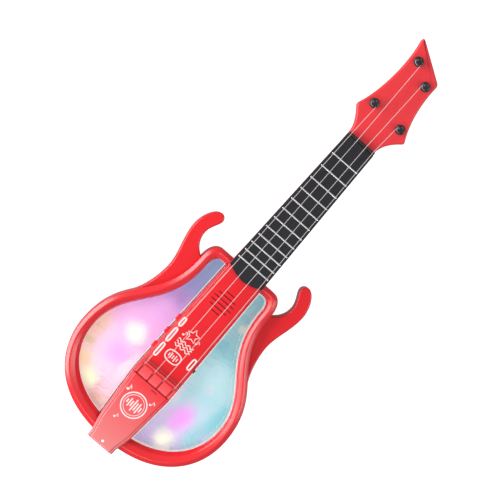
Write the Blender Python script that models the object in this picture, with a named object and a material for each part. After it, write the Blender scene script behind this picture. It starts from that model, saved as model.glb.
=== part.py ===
"""Toy electric guitar with a light-up body, as separate moulded and electrical pieces.

The guitar lies on its back: +Z comes out of its front, +Y runs up the neck and +X is its right side.
Plan points are (x, y) in metres from the shoulder line, the top edge of the body where the neck
starts. The last step moves everything so that the origin is under the middle of the whole guitar.
"""
import math

import bmesh
import bpy
from mathutils import Matrix, Vector

MM = 0.001
GAP = 0.3 * MM              # clearance between pieces that sit against each other
SLIDE_GAP = 0.35 * MM       # clearance round a piece that slides or turns

# Body outline, from the shoulder line down
BODY_LENGTH = 230.7 * MM
BOUT_HALF_WIDTH = 98.6 * MM
BOUT_Y = -151.2 * MM
WAIST_HALF_WIDTH = 48.2 * MM
WAIST_Y = -20.9 * MM
SHOULDER_HALF_WIDTH = 34.5 * MM

# Window opening in the front frame
SILL = 16.1 * MM            # width of the frame under the window
SIDE_RIM = 11.9 * MM        # width of the frame beside the bout
WAIST_RIM = 10.5 * MM       # width of the frame beside the waist
HEAD_RIM = 10.1 * MM        # width of the frame along the shoulder
WINDOW_BOUT_RISE = 4.2 * MM     # how far the widest part of the window sits above that of the body

# Horns
HORN_LEAVES = 0.42          # place along the upper flank, 0 at the bout and 1 at the waist
HORN_THROAT_X = 67.0 * MM
HORN_THROAT_Y = -49.3 * MM
HORN_BACK_X = 75.6 * MM
HORN_INNER_X = 61.3 * MM
HORN_BEND_Y = 0.5 * MM
HORN_TIP = (60.6 * MM, 27.5 * MM)
HORN_TOE = (54.3 * MM, 20.7 * MM)

# Depths of the shells and panes
TUB_SPARE = 5.8 * MM        # depth of the tub above the battery box
FRAME_DEPTH = 10.5 * MM     # crest of the front frame above the tub
WINDOW_RECESS = 7.5 * MM    # window below the crest of the frame
WINDOW_THICK = 2.2 * MM
FILM_DROP = 5.0 * MM        # film below the underside of the window
FILM_THICK = 0.8 * MM
DECK_RISE = 3.0 * MM        # control deck above the crest of the frame
WALL = 2.2 * MM             # shell wall of the tub
DECK_WALL = 2.0 * MM
EDGE_ROUND = 4.0 * MM       # rounded edge round the back of the tub

# Control deck and tail plate
DECK_TOP_HALF_WIDTH = 22.2 * MM
DECK_END_HALF_WIDTH = 25.0 * MM
DECK_WIDE_Y = -141.0 * MM
DECK_END_Y = -156.0 * MM
TAIL_RIM_HALF_WIDTH = 20.9 * MM
TAB_HALF_WIDTH = 16.7 * MM
TAB_REACH = 7.8 * MM        # tab past the bottom of the body
TAIL_START_RISE = 3.0 * MM  # tail plate above the deck, at its upper edge
TAIL_END_DROP = 0.2 * MM    # and below the deck, at the end of the tab
STRAP_HOLE_RADIUS = 1.6 * MM

# Speaker and its slots
SPEAKER_Y = -43.0 * MM
SPEAKER_RADIUS = 17.0 * MM
SLOT_COUNT = 6
SLOT_PITCH = 4.9 * MM
SLOT_HEIGHT = 1.3 * MM
SLOT_FIELD_RADIUS = 13.5 * MM

# Side buttons and power switch
BUTTON_YS = (-84.0 * MM, -101.6 * MM, -121.5 * MM)
BUTTON_LENGTH = 7.4 * MM
BUTTON_HEIGHT = 4.0 * MM
BUTTON_REACH = 3.0 * MM
BUTTON_TRAVEL = 1.0 * MM
SWITCH_Y = -114.7 * MM
SWITCH_LENGTH = 4.0 * MM
SWITCH_REACH = 1.4 * MM
SWITCH_TRAVEL = 4.0 * MM
CONTROL_DROP = 5.0 * MM     # middle of the side controls below the top of the deck

# Neck and fretboard
NECK_LENGTH = 179.0 * MM    # shoulder line to the nut
NUT_HALF_WIDTH = 17.8 * MM
HEEL_HALF_WIDTH = 21.8 * MM
NECK_DEPTH = 15.0 * MM
HEEL_BOTTOM = 7.0 * MM
HEEL_LENGTH = 12.0 * MM
TENON_HALF_WIDTH = 14.0 * MM
TENON_LENGTH = 12.0 * MM
TENON_BOTTOM = 10.0 * MM
BOARD_THICK = 3.7 * MM
BOARD_OVERLAP = 12.7 * MM   # fretboard past the shoulder line, on its middle
BOARD_POINT = 6.2 * MM      # depth of the shallow point on its end
NUT_THICK = 3.2 * MM
NUT_HEIGHT = 6.0 * MM

# Frets, spaced by the equal-temperament rule
FRET_COUNT = 12
FRET_DATUM_Y = -156.6 * MM
FRET_SCALE = 324.9 * MM
FRET_INSET = 1.4 * MM
FRET_WIDTH = 1.7 * MM
FRET_HEIGHT = 0.8 * MM

# Headstock
HEAD_LENGTH = 124.8 * MM
HEAD_THICK = 12.0 * MM
HEAD_DROP = 2.0 * MM        # its face below the top of the neck

# Tuners: string number, post place (x, y past the nut), side of the post that the string meets
TUNERS = (
    (1, -17.2 * MM, 38.7 * MM, 1),
    (2, -10.5 * MM, 101.4 * MM, 1),
    (3, 12.0 * MM, 86.2 * MM, -1),
    (4, 21.4 * MM, 35.5 * MM, -1),
)
SHAFT_RADIUS = 2.8 * MM
SPOOL_RADIUS = 3.6 * MM
CAP_RADIUS = 4.2 * MM
BUSHING_RADIUS = 5.4 * MM
BUSHING_HEIGHT = 1.2 * MM
SPOOL_HEIGHT = 4.2 * MM
CAP_HEIGHT = 1.9 * MM
KNOB_LENGTH = 18.0 * MM
KNOB_THICK = 5.0 * MM
KNOB_HEIGHT = 8.5 * MM
KNOB_STEM = 2.5 * MM

# Strings and bridge
STRING_RADIUS = 0.4 * MM
NUT_STRING_XS = (-15.0 * MM, -5.8 * MM, 5.8 * MM, 15.0 * MM)
SADDLE_STRING_XS = (-20.2 * MM, -6.5 * MM, 6.5 * MM, 20.2 * MM)
SADDLE_HEIGHT = 7.3 * MM    # saddle crest above the deck
SADDLE_Y = -141.8 * MM
BRIDGE_TOP_Y = -137.3 * MM
PAD_HEIGHT = 3.5 * MM
STRING_SLOT_WIDTH = 2.0 * MM

# Power
CELL_COUNT = 3
CELL_RADIUS = 7.1 * MM
CELL_LENGTH = 50.0 * MM
CELL_SPACE = 1.0 * MM       # between one cell and the next
CELL_NUB_RADIUS = 2.7 * MM
CELL_NUB_LENGTH = 1.2 * MM
BATTERY_Y = -125.0 * MM
CONTACT_SPACE = 3.0 * MM    # room for the contacts at each end of the cells
CONTACT_THICK = 0.6 * MM
BOX_WALL = 1.6 * MM
BOX_SEAT = 0.6 * MM         # how far the box overlaps the edge of the door opening
DOOR_THICK = 1.8 * MM
DOOR_TAB = 9.0 * MM

# Fasteners
SCREW_HEAD_RADIUS = 2.7 * MM
SCREW_HEAD_HEIGHT = 1.7 * MM
SCREW_SHANK_RADIUS = 1.3 * MM
SCREW_SINK = 0.5 * MM       # head below the back
BOSS_RADIUS = 4.2 * MM
SHELL_SCREWS = (("low", 0, 0.62), ("side", 1, 0.16), ("high", 1, 0.80))

# Light boards
LIGHT_BOARD_X = 50.0 * MM
LIGHT_BOARD_YS = (-196.0 * MM, -118.0 * MM)
LIGHT_BOARD_WIDTH = 9.0 * MM
BOARD_SHEET = 1.6 * MM
LED_RADIUS = 2.5 * MM
LED_HEIGHT = 5.0 * MM
LED_COUNT = 3

# Heights and places that follow from the sizes above
CELL_PITCH = 2 * CELL_RADIUS + CELL_SPACE
BOX_FLOOR = WALL + GAP
BOX_ROOF = BOX_FLOOR + 2 * CELL_RADIUS + 3 * GAP
TUB_HEIGHT = BOX_ROOF + BOX_WALL + TUB_SPARE
FRAME_HEIGHT = TUB_HEIGHT + FRAME_DEPTH
WINDOW_TOP = FRAME_HEIGHT - WINDOW_RECESS
DECK_TOP = FRAME_HEIGHT + DECK_RISE
CONTROL_Z = DECK_TOP - CONTROL_DROP
NECK_TOP = DECK_TOP
BOARD_BOTTOM = NECK_TOP + GAP
BOARD_TOP = BOARD_BOTTOM + BOARD_THICK
HEAD_TOP = NECK_TOP - HEAD_DROP
HEAD_BOTTOM = HEAD_TOP - HEAD_THICK
FRAME_BOTTOM = TUB_HEIGHT + GAP
WINDOW_BOTTOM = WINDOW_TOP - WINDOW_THICK
NUT_TOP = NECK_TOP + NUT_HEIGHT
SADDLE_TOP = DECK_TOP + SADDLE_HEIGHT
STRING_LIFT = STRING_RADIUS + GAP
TAIL_END_Y = -(BODY_LENGTH + TAB_REACH)


# ---------------------------------------------------------------- plan curves

def cubic(start, handle_a, handle_b, end, steps):
    """Points of a cubic curve, both ends included."""
    points = []
    for step in range(steps + 1):
        t = step / steps
        s = 1 - t
        weights = (s ** 3, 3 * s * s * t, 3 * s * t * t, t ** 3)
        corners = (start, handle_a, handle_b, end)
        points.append(tuple(sum(w * p[axis] for w, p in zip(weights, corners)) for axis in (0, 1)))
    return points


def chain(*parts):
    """One open line from parts that meet end to end."""
    line = list(parts[0])
    for part in parts[1:]:
        line += part[1:]
    return line


def both_sides(right_half):
    """Closed loop from a right half that starts and ends on the centre line."""
    return right_half + [(-x, y) for x, y in reversed(right_half[1:-1])]


def blend(loop_a, loop_b, share):
    """Loop that lies a share of the way from one loop to another with as many points."""
    return [(ax + (bx - ax) * share, ay + (by - ay) * share)
            for (ax, ay), (bx, by) in zip(loop_a, loop_b)]


def inset(loop, distance):
    """Counter-clockwise loop moved inwards by a distance."""
    moved = []
    count = len(loop)
    for index in range(count):
        here = Vector(loop[index])
        before = (here - Vector(loop[index - 1])).normalized()
        after = (Vector(loop[(index + 1) % count]) - here).normalized()
        middle = (before + after).normalized()
        spread = max(middle.dot(after), 0.6)
        inward = Vector((-middle.y, middle.x))
        moved.append(tuple(here + inward * (distance / spread)))
    return moved


def trimmed(line, cut_start, cut_end):
    """Open line with a length taken off each end."""
    for cut in (cut_start, cut_end):
        left = cut
        while left > 0:
            step = (Vector(line[1]) - Vector(line[0])).length
            if step > left:
                line = [tuple(Vector(line[0]).lerp(Vector(line[1]), left / step))] + line[1:]
                break
            left -= step
            line = line[1:]
        line = line[::-1]
    return line


def rounded_outline(parts, radii, steps=3):
    """Closed loop of open lines, each corner between two lines rounded by its own radius."""
    loop = []
    for index, part in enumerate(parts):
        start_radius = radii[index - 1]
        end_radius = radii[index]
        line = trimmed(part, start_radius, end_radius)
        following = trimmed(parts[(index + 1) % len(parts)], end_radius, 0)
        corner = part[-1]
        loop += line
        if end_radius:
            rounding = cubic(line[-1], Vector(line[-1]).lerp(Vector(corner), 0.6),
                             Vector(following[0]).lerp(Vector(corner), 0.6), following[0], steps)
            loop += rounding[1:-1]
        else:
            loop.pop()
    return loop


def interpolate(stations, value):
    """Second number of (key, number) stations at a key, straight between stations."""
    stations = sorted(stations)
    if value <= stations[0][0]:
        return stations[0][1]
    for (key_a, number_a), (key_b, number_b) in zip(stations, stations[1:]):
        if value <= key_b:
            return number_a + (number_b - number_a) * (value - key_a) / (key_b - key_a)
    return stations[-1][1]


# ---------------------------------------------------------------- outlines

def body_flanks():
    """Right side of the body: below the bout, above it, the shoulder corner and the shoulder."""
    bottom = (0, -BODY_LENGTH)
    bout = (BOUT_HALF_WIDTH, BOUT_Y)
    waist = (WAIST_HALF_WIDTH, WAIST_Y)
    shoulder = (SHOULDER_HALF_WIDTH, 0)
    lower_swing = 0.53 * (BOUT_Y + BODY_LENGTH)
    upper_swing = 0.508 * (WAIST_Y - BOUT_Y)
    lower = cubic(bottom, (0.68 * BOUT_HALF_WIDTH, -BODY_LENGTH),
                  (BOUT_HALF_WIDTH, BOUT_Y - lower_swing), bout, 11)
    upper = cubic(bout, (BOUT_HALF_WIDTH, BOUT_Y + upper_swing),
                  (WAIST_HALF_WIDTH, WAIST_Y - upper_swing), waist, 12)
    corner = cubic(waist, (WAIST_HALF_WIDTH, 0.43 * WAIST_Y),
                   (SHOULDER_HALF_WIDTH + 0.65 * (WAIST_HALF_WIDTH - SHOULDER_HALF_WIDTH), 0),
                   shoulder, 6)
    return lower, upper, corner, [shoulder, (0, 0)]


def body_loop():
    """Outer edge of the front frame, without the horns."""
    return both_sides(chain(*body_flanks()))


def window_loop():
    """Opening in the front frame, point for point beside body_loop."""
    bottom = (0, SILL - BODY_LENGTH)
    bout = (BOUT_HALF_WIDTH - SIDE_RIM, BOUT_Y + WINDOW_BOUT_RISE)
    waist = (WAIST_HALF_WIDTH - WAIST_RIM, WAIST_Y - 0.4 * WAIST_RIM)
    top = (SHOULDER_HALF_WIDTH - 0.55 * HEAD_RIM, -HEAD_RIM)
    rise = waist[1] - bout[1]
    lower = cubic(bottom, (0.645 * bout[0], bottom[1]),
                  (bout[0], bout[1] - 0.56 * (bout[1] - bottom[1])), bout, 11)
    upper = cubic(bout, (bout[0], bout[1] + 0.41 * rise), (waist[0], waist[1] - 0.525 * rise), waist, 12)
    corner = cubic(waist, (waist[0], top[1] + 0.35 * (waist[1] - top[1])),
                   (top[0] + 0.65 * (waist[0] - top[0]), top[1]), top, 6)
    return both_sides(chain(lower, upper, corner, [top, (0, top[1])]))


def horned_loop():
    """Outer edge of the tub: the body with a horn curling up on each side."""
    lower, upper, corner, shoulder = body_flanks()
    last_kept = round(HORN_LEAVES * 12)
    start = upper[last_kept]
    heading = (Vector(upper[last_kept + 1]) - Vector(upper[last_kept - 1])).normalized()
    depart = tuple(Vector(start) + heading * 0.3 * (HORN_THROAT_Y - start[1]))
    throat = (HORN_THROAT_X, HORN_THROAT_Y)
    back = (HORN_BACK_X, HORN_BEND_Y)
    inner = (HORN_INNER_X, HORN_BEND_Y)
    to_throat = cubic(start, depart, (HORN_THROAT_X, HORN_THROAT_Y - 13 * MM), throat, 5)
    to_back = cubic(throat, (HORN_THROAT_X, HORN_THROAT_Y + 16 * MM),
                    (HORN_BACK_X, HORN_BEND_Y - 18 * MM), back, 6)
    to_tip = cubic(back, (HORN_BACK_X, HORN_BEND_Y + 11.5 * MM),
                   (HORN_TIP[0] + 8.4 * MM, HORN_TIP[1] - 1.0 * MM), HORN_TIP, 6)
    round_tip = cubic(HORN_TIP, (HORN_TIP[0] - 3.6 * MM, HORN_TIP[1] + 0.4 * MM),
                      (HORN_TOE[0] - 0.3 * MM, HORN_TOE[1] + 3.8 * MM), HORN_TOE, 3)
    to_inner = cubic(HORN_TOE, (HORN_TOE[0] + 0.7 * MM, HORN_TOE[1] - 5.2 * MM),
                     (HORN_INNER_X, HORN_BEND_Y + 8 * MM), inner, 5)
    to_notch = cubic(inner, (HORN_INNER_X, HORN_BEND_Y - 10 * MM),
                     (WAIST_HALF_WIDTH + 7 * MM, WAIST_Y + 4 * MM), corner[0], 4)
    half = chain(lower, upper[:last_kept + 1], to_throat, to_back, to_tip, round_tip, to_inner,
                 to_notch, corner, shoulder)
    return both_sides(half)


def head_loop():
    """Outline of the headstock, its foot a little below the nut."""
    nut = NECK_LENGTH
    foot = nut - 6 * MM
    ear_left = (-31.0 * MM, nut + 27.5 * MM)
    ear_right = (35.3 * MM, nut + 27.0 * MM)
    tip = (-23.3 * MM, nut + HEAD_LENGTH)
    top_right = (21.6 * MM, nut + HEAD_LENGTH - 29.6 * MM)
    half = NUT_HALF_WIDTH - 0.6 * MM
    left_side = cubic((-half, nut), (-half, nut + 11 * MM), (-26 * MM, nut + 21 * MM), ear_left, 6)
    left_edge = cubic(ear_left, (-21 * MM, nut + 48 * MM), (-15.5 * MM, tip[1] - 31 * MM), tip, 9)
    top_edge = [tip, top_right]
    right_edge = cubic(top_right, (20.2 * MM, top_right[1] - 21.5 * MM),
                       (23.6 * MM, nut + 47 * MM), ear_right, 8)
    right_side = cubic(ear_right, (28 * MM, nut + 21 * MM), (18.4 * MM, nut + 13 * MM), (half, nut), 6)
    foot_line = [(half, nut), (half, foot), (-half, foot), (-half, nut)]
    parts = [left_side, left_edge, top_edge, right_edge, right_side, foot_line]
    clockwise = rounded_outline(parts, [3.0 * MM, 3.0 * MM, 3.0 * MM, 2.5 * MM, 0, 0])
    return clockwise[::-1]


def deck_half_width(y):
    """Half the width of the control deck at a height on the plan."""
    return interpolate(((DECK_END_Y, DECK_END_HALF_WIDTH), (DECK_WIDE_Y, DECK_END_HALF_WIDTH),
                        (0, DECK_TOP_HALF_WIDTH)), y)


def tail_stations():
    """Half widths of the tail plate from its top edge to its tab."""
    body_end = -BODY_LENGTH
    rim_start = body_end + SILL + 2 * MM
    return [(DECK_END_Y - GAP, DECK_END_HALF_WIDTH), (rim_start, TAIL_RIM_HALF_WIDTH),
            (body_end + 3 * MM, TAB_HALF_WIDTH + 1.0 * MM), (body_end - 1 * MM, TAB_HALF_WIDTH)]


def strip_half_width(y):
    """Half the width of whichever strip, deck or tail plate, lies at a height on the plan."""
    if y > DECK_END_Y:
        return deck_half_width(y)
    return interpolate(tail_stations(), y)


def board_half_width(y):
    """Half the width of the fretboard at a height on the plan."""
    return interpolate(((-BOARD_OVERLAP, HEEL_HALF_WIDTH + 0.2 * MM), (NECK_LENGTH, NUT_HALF_WIDTH)), y)


# ---------------------------------------------------------------- materials

def plastic(name, colour, roughness, metallic=0.0, transmission=0.0):
    """Principled material with one colour."""
    material = bpy.data.materials.new(name)
    material.use_nodes = True
    shader = material.node_tree.nodes["Principled BSDF"]
    shader.inputs["Base Color"].default_value = (*colour, 1.0)
    shader.inputs["Roughness"].default_value = roughness
    shader.inputs["Metallic"].default_value = metallic
    shader.inputs["Transmission Weight"].default_value = transmission
    material.diffuse_color = (*colour, 1.0)
    return material


RED = (0.80, 0.035, 0.045)
BLACK = (0.012, 0.012, 0.014)
STEEL = (0.62, 0.62, 0.64)


# ---------------------------------------------------------------- solids

def new_object(name, bm, material, smooth_angle=math.radians(35)):
    """Object from a bmesh, faces outwards, on the guitar's own parent."""
    bmesh.ops.recalc_face_normals(bm, faces=bm.faces)
    mesh = bpy.data.meshes.new(name)
    bm.to_mesh(mesh)
    bm.free()
    mesh.shade_smooth()
    mesh.set_sharp_from_angle(angle=smooth_angle)
    obj = bpy.data.objects.new(name, mesh)
    bpy.context.scene.collection.objects.link(obj)
    if material:
        mesh.materials.append(material)
    obj.parent = guitar
    return obj


def skin(bm, rings, closed_section=False):
    """Faces between rings of vertices with as many points each, and caps unless it closes on itself."""
    pairs = list(zip(rings, rings[1:]))
    if closed_section:
        pairs.append((rings[-1], rings[0]))
    for low, high in pairs:
        count = len(low)
        for index in range(count):
            following = (index + 1) % count
            bm.faces.new((low[index], low[following], high[following], high[index]))
    if not closed_section:
        bm.faces.new(rings[0])
        bm.faces.new(rings[-1])


def stacked(name, levels, material):
    """Solid skinned over (loop, height) levels; a height may be a function of the plan point."""
    bm = bmesh.new()
    rings = []
    for loop, height in levels:
        rings.append([bm.verts.new((x, y, height(x, y) if callable(height) else height))
                      for x, y in loop])
    skin(bm, rings)
    return new_object(name, bm, material)


def turned(name, profile, material, place=(0, 0, 0), sides=20, axis_turn=None):
    """Solid turned about Z from a (radius, height) profile that starts and ends on the axis."""
    bm = bmesh.new()
    verts = [bm.verts.new((radius, 0, height)) for radius, height in profile]
    edges = [bm.edges.new(pair) for pair in zip(verts, verts[1:])]
    bmesh.ops.spin(bm, geom=verts + edges, cent=(0, 0, 0), axis=(0, 0, 1), angle=math.tau, steps=sides)
    bmesh.ops.remove_doubles(bm, verts=bm.verts, dist=1e-6)
    obj = new_object(name, bm, material)
    obj.location = place
    if axis_turn:
        obj.rotation_euler = axis_turn
    return obj


def block(name, low, high, material, bevel=0.0, segments=1):
    """Box between two corners, its edges bevelled."""
    bm = bmesh.new()
    low, high = Vector(low), Vector(high)
    bmesh.ops.create_cube(bm, size=1)
    bmesh.ops.transform(bm, matrix=Matrix.Diagonal((*(high - low), 1)), verts=bm.verts)
    bmesh.ops.translate(bm, vec=(low + high) / 2, verts=bm.verts)
    if bevel:
        bmesh.ops.bevel(bm, geom=bm.edges[:], offset=bevel, segments=segments, affect="EDGES",
                        clamp_overlap=True)
    return new_object(name, bm, material)


def combine(target, operation, *tools):
    """Boolean of a solid with tools that are used up, the result kept as the solid's own mesh."""
    for tool in tools:
        modifier = target.modifiers.new("cut", "BOOLEAN")
        modifier.operation = operation
        modifier.solver = "EXACT"
        modifier.object = tool
    bpy.context.view_layer.update()
    graph = bpy.context.evaluated_depsgraph_get()
    mesh = bpy.data.meshes.new_from_object(target.evaluated_get(graph))
    target.modifiers.clear()
    target.data = mesh
    for tool in tools:
        bpy.data.objects.remove(tool)
    return target


def pin(low_z, high_z, radius, x, y, sides=14):
    """Round tool or boss between two heights."""
    return turned("tool", [(0, low_z), (radius, low_z), (radius, high_z), (0, high_z)], None,
                  (x, y, 0), sides)


# ---------------------------------------------------------------- body

def screw_places():
    """Plan place of each shell screw, on the middle of the front frame."""
    middle = blend(body_loop(), window_loop(), 0.46)
    places = []
    for label, flank, share in SHELL_SCREWS:
        steps = (11, 12)[flank]
        index = round(share * steps) + (0 if flank == 0 else 11)
        x, y = middle[index]
        places += [("shell_screw_left_" + label, -x, y), ("shell_screw_right_" + label, x, y)]
    return places


def neck_screw_places():
    """Plan place of each screw that holds the neck's tenon."""
    y = -TENON_LENGTH / 2
    return [("neck_screw_left", -0.55 * TENON_HALF_WIDTH, y), ("neck_screw_right", 0.55 * TENON_HALF_WIDTH, y)]


def battery_sizes():
    """Inner half width and half length of the battery box."""
    half_width = CELL_COUNT * CELL_PITCH / 2
    half_length = CELL_LENGTH / 2 + CONTACT_SPACE
    return half_width, half_length


def door_opening():
    """Low and high plan corners of the hole for the battery door."""
    half_width, half_length = battery_sizes()
    reach = BOX_WALL - BOX_SEAT
    return ((-half_width - reach, BATTERY_Y - half_length - DOOR_TAB),
            (half_width + reach, BATTERY_Y + half_length + reach))


def make_back_shell():
    red = plastic("red_gloss_shell", RED, 0.22)
    outline = horned_loop()
    shell = stacked("back_shell", [
        (inset(outline, EDGE_ROUND), 0),
        (inset(outline, 0.3 * EDGE_ROUND), 0.3 * EDGE_ROUND),
        (outline, EDGE_ROUND),
        (outline, TUB_HEIGHT - 1.2 * MM),
        (inset(outline, 1.2 * MM), TUB_HEIGHT),
    ], red)
    hollow = inset(body_loop(), WALL)
    cavity = stacked("tool", [(hollow, WALL), (hollow, TUB_HEIGHT + 5 * MM)], None)
    combine(shell, "DIFFERENCE", cavity)
    bosses = [pin(0.5 * WALL, TUB_HEIGHT, BOSS_RADIUS, x, y) for _, x, y in screw_places()]
    bosses += [pin(0.5 * WALL, TENON_BOTTOM - GAP, BOSS_RADIUS, x, y) for _, x, y in neck_screw_places()]
    combine(shell, "UNION", *bosses)
    (door_low_x, door_low_y), (door_high_x, door_high_y) = door_opening()
    cuts = [block("tool", (door_low_x, door_low_y, -5 * MM), (door_high_x, door_high_y, 2 * WALL), None)]
    slot = TENON_HALF_WIDTH + GAP
    cuts.append(block("tool", (-slot, -2 * WALL, TENON_BOTTOM - GAP), (slot, 5 * MM, TUB_HEIGHT + 5 * MM),
                      None))
    for _, x, y in screw_places() + neck_screw_places():
        cuts.append(pin(-5 * MM, SCREW_SINK + SCREW_HEAD_HEIGHT + GAP, SCREW_HEAD_RADIUS + GAP, x, y))
        cuts.append(pin(-6 * MM, TUB_HEIGHT + 5 * MM, SCREW_SHANK_RADIUS + GAP, x, y, 10))
    return combine(shell, "DIFFERENCE", *cuts)


def make_front_frame():
    red = plastic("red_gloss_frame", RED, 0.2)
    outer, inner = body_loop(), window_loop()
    lip = WINDOW_TOP + GAP
    section = [
        (0.05, FRAME_BOTTOM), (0.0, FRAME_BOTTOM + 2.4 * MM), (0.12, FRAME_HEIGHT - 2.2 * MM),
        (0.42, FRAME_HEIGHT), (0.74, FRAME_HEIGHT - 1.8 * MM), (1.0, lip + 0.8 * MM),
        (1.0, lip), (0.76, lip), (0.76, FRAME_BOTTOM),
    ]
    bm = bmesh.new()
    rings = [[bm.verts.new((x, y, height)) for x, y in blend(outer, inner, share)]
             for share, height in section]
    skin(bm, rings, closed_section=True)
    frame = new_object("front_frame", bm, red)
    holes = [pin(FRAME_BOTTOM - 5 * MM, TUB_HEIGHT + 5 * MM, SCREW_SHANK_RADIUS + GAP, x, y, 10)
             for _, x, y in screw_places()]
    return combine(frame, "DIFFERENCE", *holes)


def pane_loop(side, rim_share, clearance):
    """Outline of a pane between the strip and the frame on one side, counter-clockwise."""
    pane_edge = blend(body_loop(), window_loop(), rim_share)
    right = pane_edge[:len(pane_edge) // 2 + 1]
    kept = []
    for before, after in zip(right, right[1:]):
        limit_before = strip_half_width(before[1]) + clearance
        limit_after = strip_half_width(after[1]) + clearance
        inside_before, inside_after = before[0] > limit_before, after[0] > limit_after
        if inside_before != inside_after:
            share = (limit_before - before[0]) / ((after[0] - before[0]) - (limit_after - limit_before))
            kept.append(tuple(Vector(before).lerp(Vector(after), share)))
        if inside_after:
            kept.append(after)
    top_y, low_y = kept[-1][1], kept[0][1]
    bends = [DECK_WIDE_Y, DECK_END_Y] + [y for y, _ in tail_stations()]
    apart = 1 * MM
    corners = [y for y in sorted(bends, reverse=True) if low_y + apart < y < top_y - apart]
    kept += [(strip_half_width(y) + clearance, y) for y in corners]
    if side < 0:
        kept = [(-x, y) for x, y in reversed(kept)]
    return kept


def make_panes():
    clear = plastic("clear_plastic", (0.92, 0.95, 0.96), 0.05, transmission=0.9)
    tints = {"left": (0.86, 0.58, 0.82), "right": (0.56, 0.82, 0.86)}
    film_top = WINDOW_BOTTOM - FILM_DROP
    for label, side in (("left", -1), ("right", 1)):
        pane = pane_loop(side, 0.80, GAP)
        stacked(label + "_window", [(pane, WINDOW_BOTTOM), (pane, WINDOW_TOP)], clear)
        sheet = pane_loop(side, 0.94, 2 * GAP)
        stacked(label + "_light_film", [(sheet, film_top - FILM_THICK), (sheet, film_top)],
                plastic(label + "_film", tints[label], 0.35))


# ---------------------------------------------------------------- control deck, tail plate, bridge

def make_control_deck():
    red = plastic("red_gloss_deck", RED, 0.24)
    top_y = -0.5 * MM
    end_y = DECK_END_Y
    right = [(deck_half_width(y), y) for y in (end_y, DECK_WIDE_Y, top_y)]
    outline = right + [(-x, y) for x, y in reversed(right)]
    skirt = FRAME_BOTTOM
    deck = stacked("control_deck", [
        (outline, skirt), (outline, DECK_TOP - 1.2 * MM), (inset(outline, 1.2 * MM), DECK_TOP)], red)
    rim_end = -HEAD_RIM - 0.7 * MM
    inner = [(deck_half_width(y) - DECK_WALL, y) for y in (end_y + DECK_WALL, DECK_WIDE_Y, rim_end - DECK_WALL)]
    cavity_loop = inner + [(-x, y) for x, y in reversed(inner)]
    cavity = stacked("tool", [(cavity_loop, skirt - 5 * MM), (cavity_loop, DECK_TOP - DECK_WALL)], None)
    rim_room = block("tool", (-40 * MM, rim_end, skirt - 5 * MM),
                     (40 * MM, 10 * MM, FRAME_HEIGHT + GAP), None)
    cuts = [cavity, rim_room]
    for row in range(SLOT_COUNT):
        y = SPEAKER_Y + (row - (SLOT_COUNT - 1) / 2) * SLOT_PITCH
        half = math.sqrt(SLOT_FIELD_RADIUS ** 2 - (y - SPEAKER_Y) ** 2)
        cuts.append(block("tool", (-half, y - SLOT_HEIGHT / 2, DECK_TOP - 2 * DECK_WALL),
                          (half, y + SLOT_HEIGHT / 2, DECK_TOP + 5 * MM), None))
    half_high = BUTTON_HEIGHT / 2 + SLIDE_GAP
    for y in BUTTON_YS:
        half_long = BUTTON_LENGTH / 2 + SLIDE_GAP
        wall_x = -deck_half_width(y)
        cuts.append(block("tool", (wall_x - 2 * DECK_WALL, y - half_long, CONTROL_Z - half_high),
                          (wall_x + 2 * DECK_WALL, y + half_long, CONTROL_Z + half_high), None))
    wall_x = deck_half_width(SWITCH_Y)
    half_long = (SWITCH_LENGTH + SWITCH_TRAVEL) / 2 + SLIDE_GAP
    cuts.append(block("tool", (wall_x - 2 * DECK_WALL, SWITCH_Y - half_long, CONTROL_Z - half_high),
                      (wall_x + 2 * DECK_WALL, SWITCH_Y + half_long, CONTROL_Z + half_high), None))
    return combine(deck, "DIFFERENCE", *cuts)


def tail_top(x, y):
    """Height of the sloping face of the tail plate."""
    return interpolate(((TAIL_END_Y, DECK_TOP - TAIL_END_DROP), (DECK_END_Y - GAP, DECK_TOP + TAIL_START_RISE)), y)


def make_tail_plate():
    red = plastic("red_gloss_tail", RED, 0.24)
    right = [(half, y) for y, half in reversed(tail_stations())]
    corner = 2.2 * MM
    right = [(TAB_HALF_WIDTH - corner, TAIL_END_Y), (TAB_HALF_WIDTH - 0.3 * corner, TAIL_END_Y + 0.3 * corner),
             (TAB_HALF_WIDTH, TAIL_END_Y + corner)] + right
    outline = right + [(-x, y) for x, y in reversed(right)]
    skirt = FRAME_BOTTOM
    edge = 1.0 * MM
    plate = stacked("tail_plate", [
        (outline, skirt), (outline, lambda x, y: tail_top(x, y) - edge), (inset(outline, edge), tail_top)], red)
    rim_start = -BODY_LENGTH + SILL + 3.2 * MM
    inner = [(strip_half_width(y) - DECK_WALL, y) for y in (rim_start + DECK_WALL, DECK_END_Y - GAP - DECK_WALL)]
    cavity_loop = inner + [(-x, y) for x, y in reversed(inner)]
    cavity = stacked("tool", [(cavity_loop, skirt - 5 * MM), (cavity_loop, DECK_TOP - DECK_WALL)], None)
    rim_room = block("tool", (-40 * MM, TAIL_END_Y - 10 * MM, skirt - 5 * MM),
                     (40 * MM, rim_start, FRAME_HEIGHT + GAP), None)
    hole = pin(skirt, DECK_TOP + 10 * MM, STRAP_HOLE_RADIUS, 0, -BODY_LENGTH - 0.32 * TAB_REACH)
    return combine(plate, "DIFFERENCE", cavity, rim_room, hole)


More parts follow.
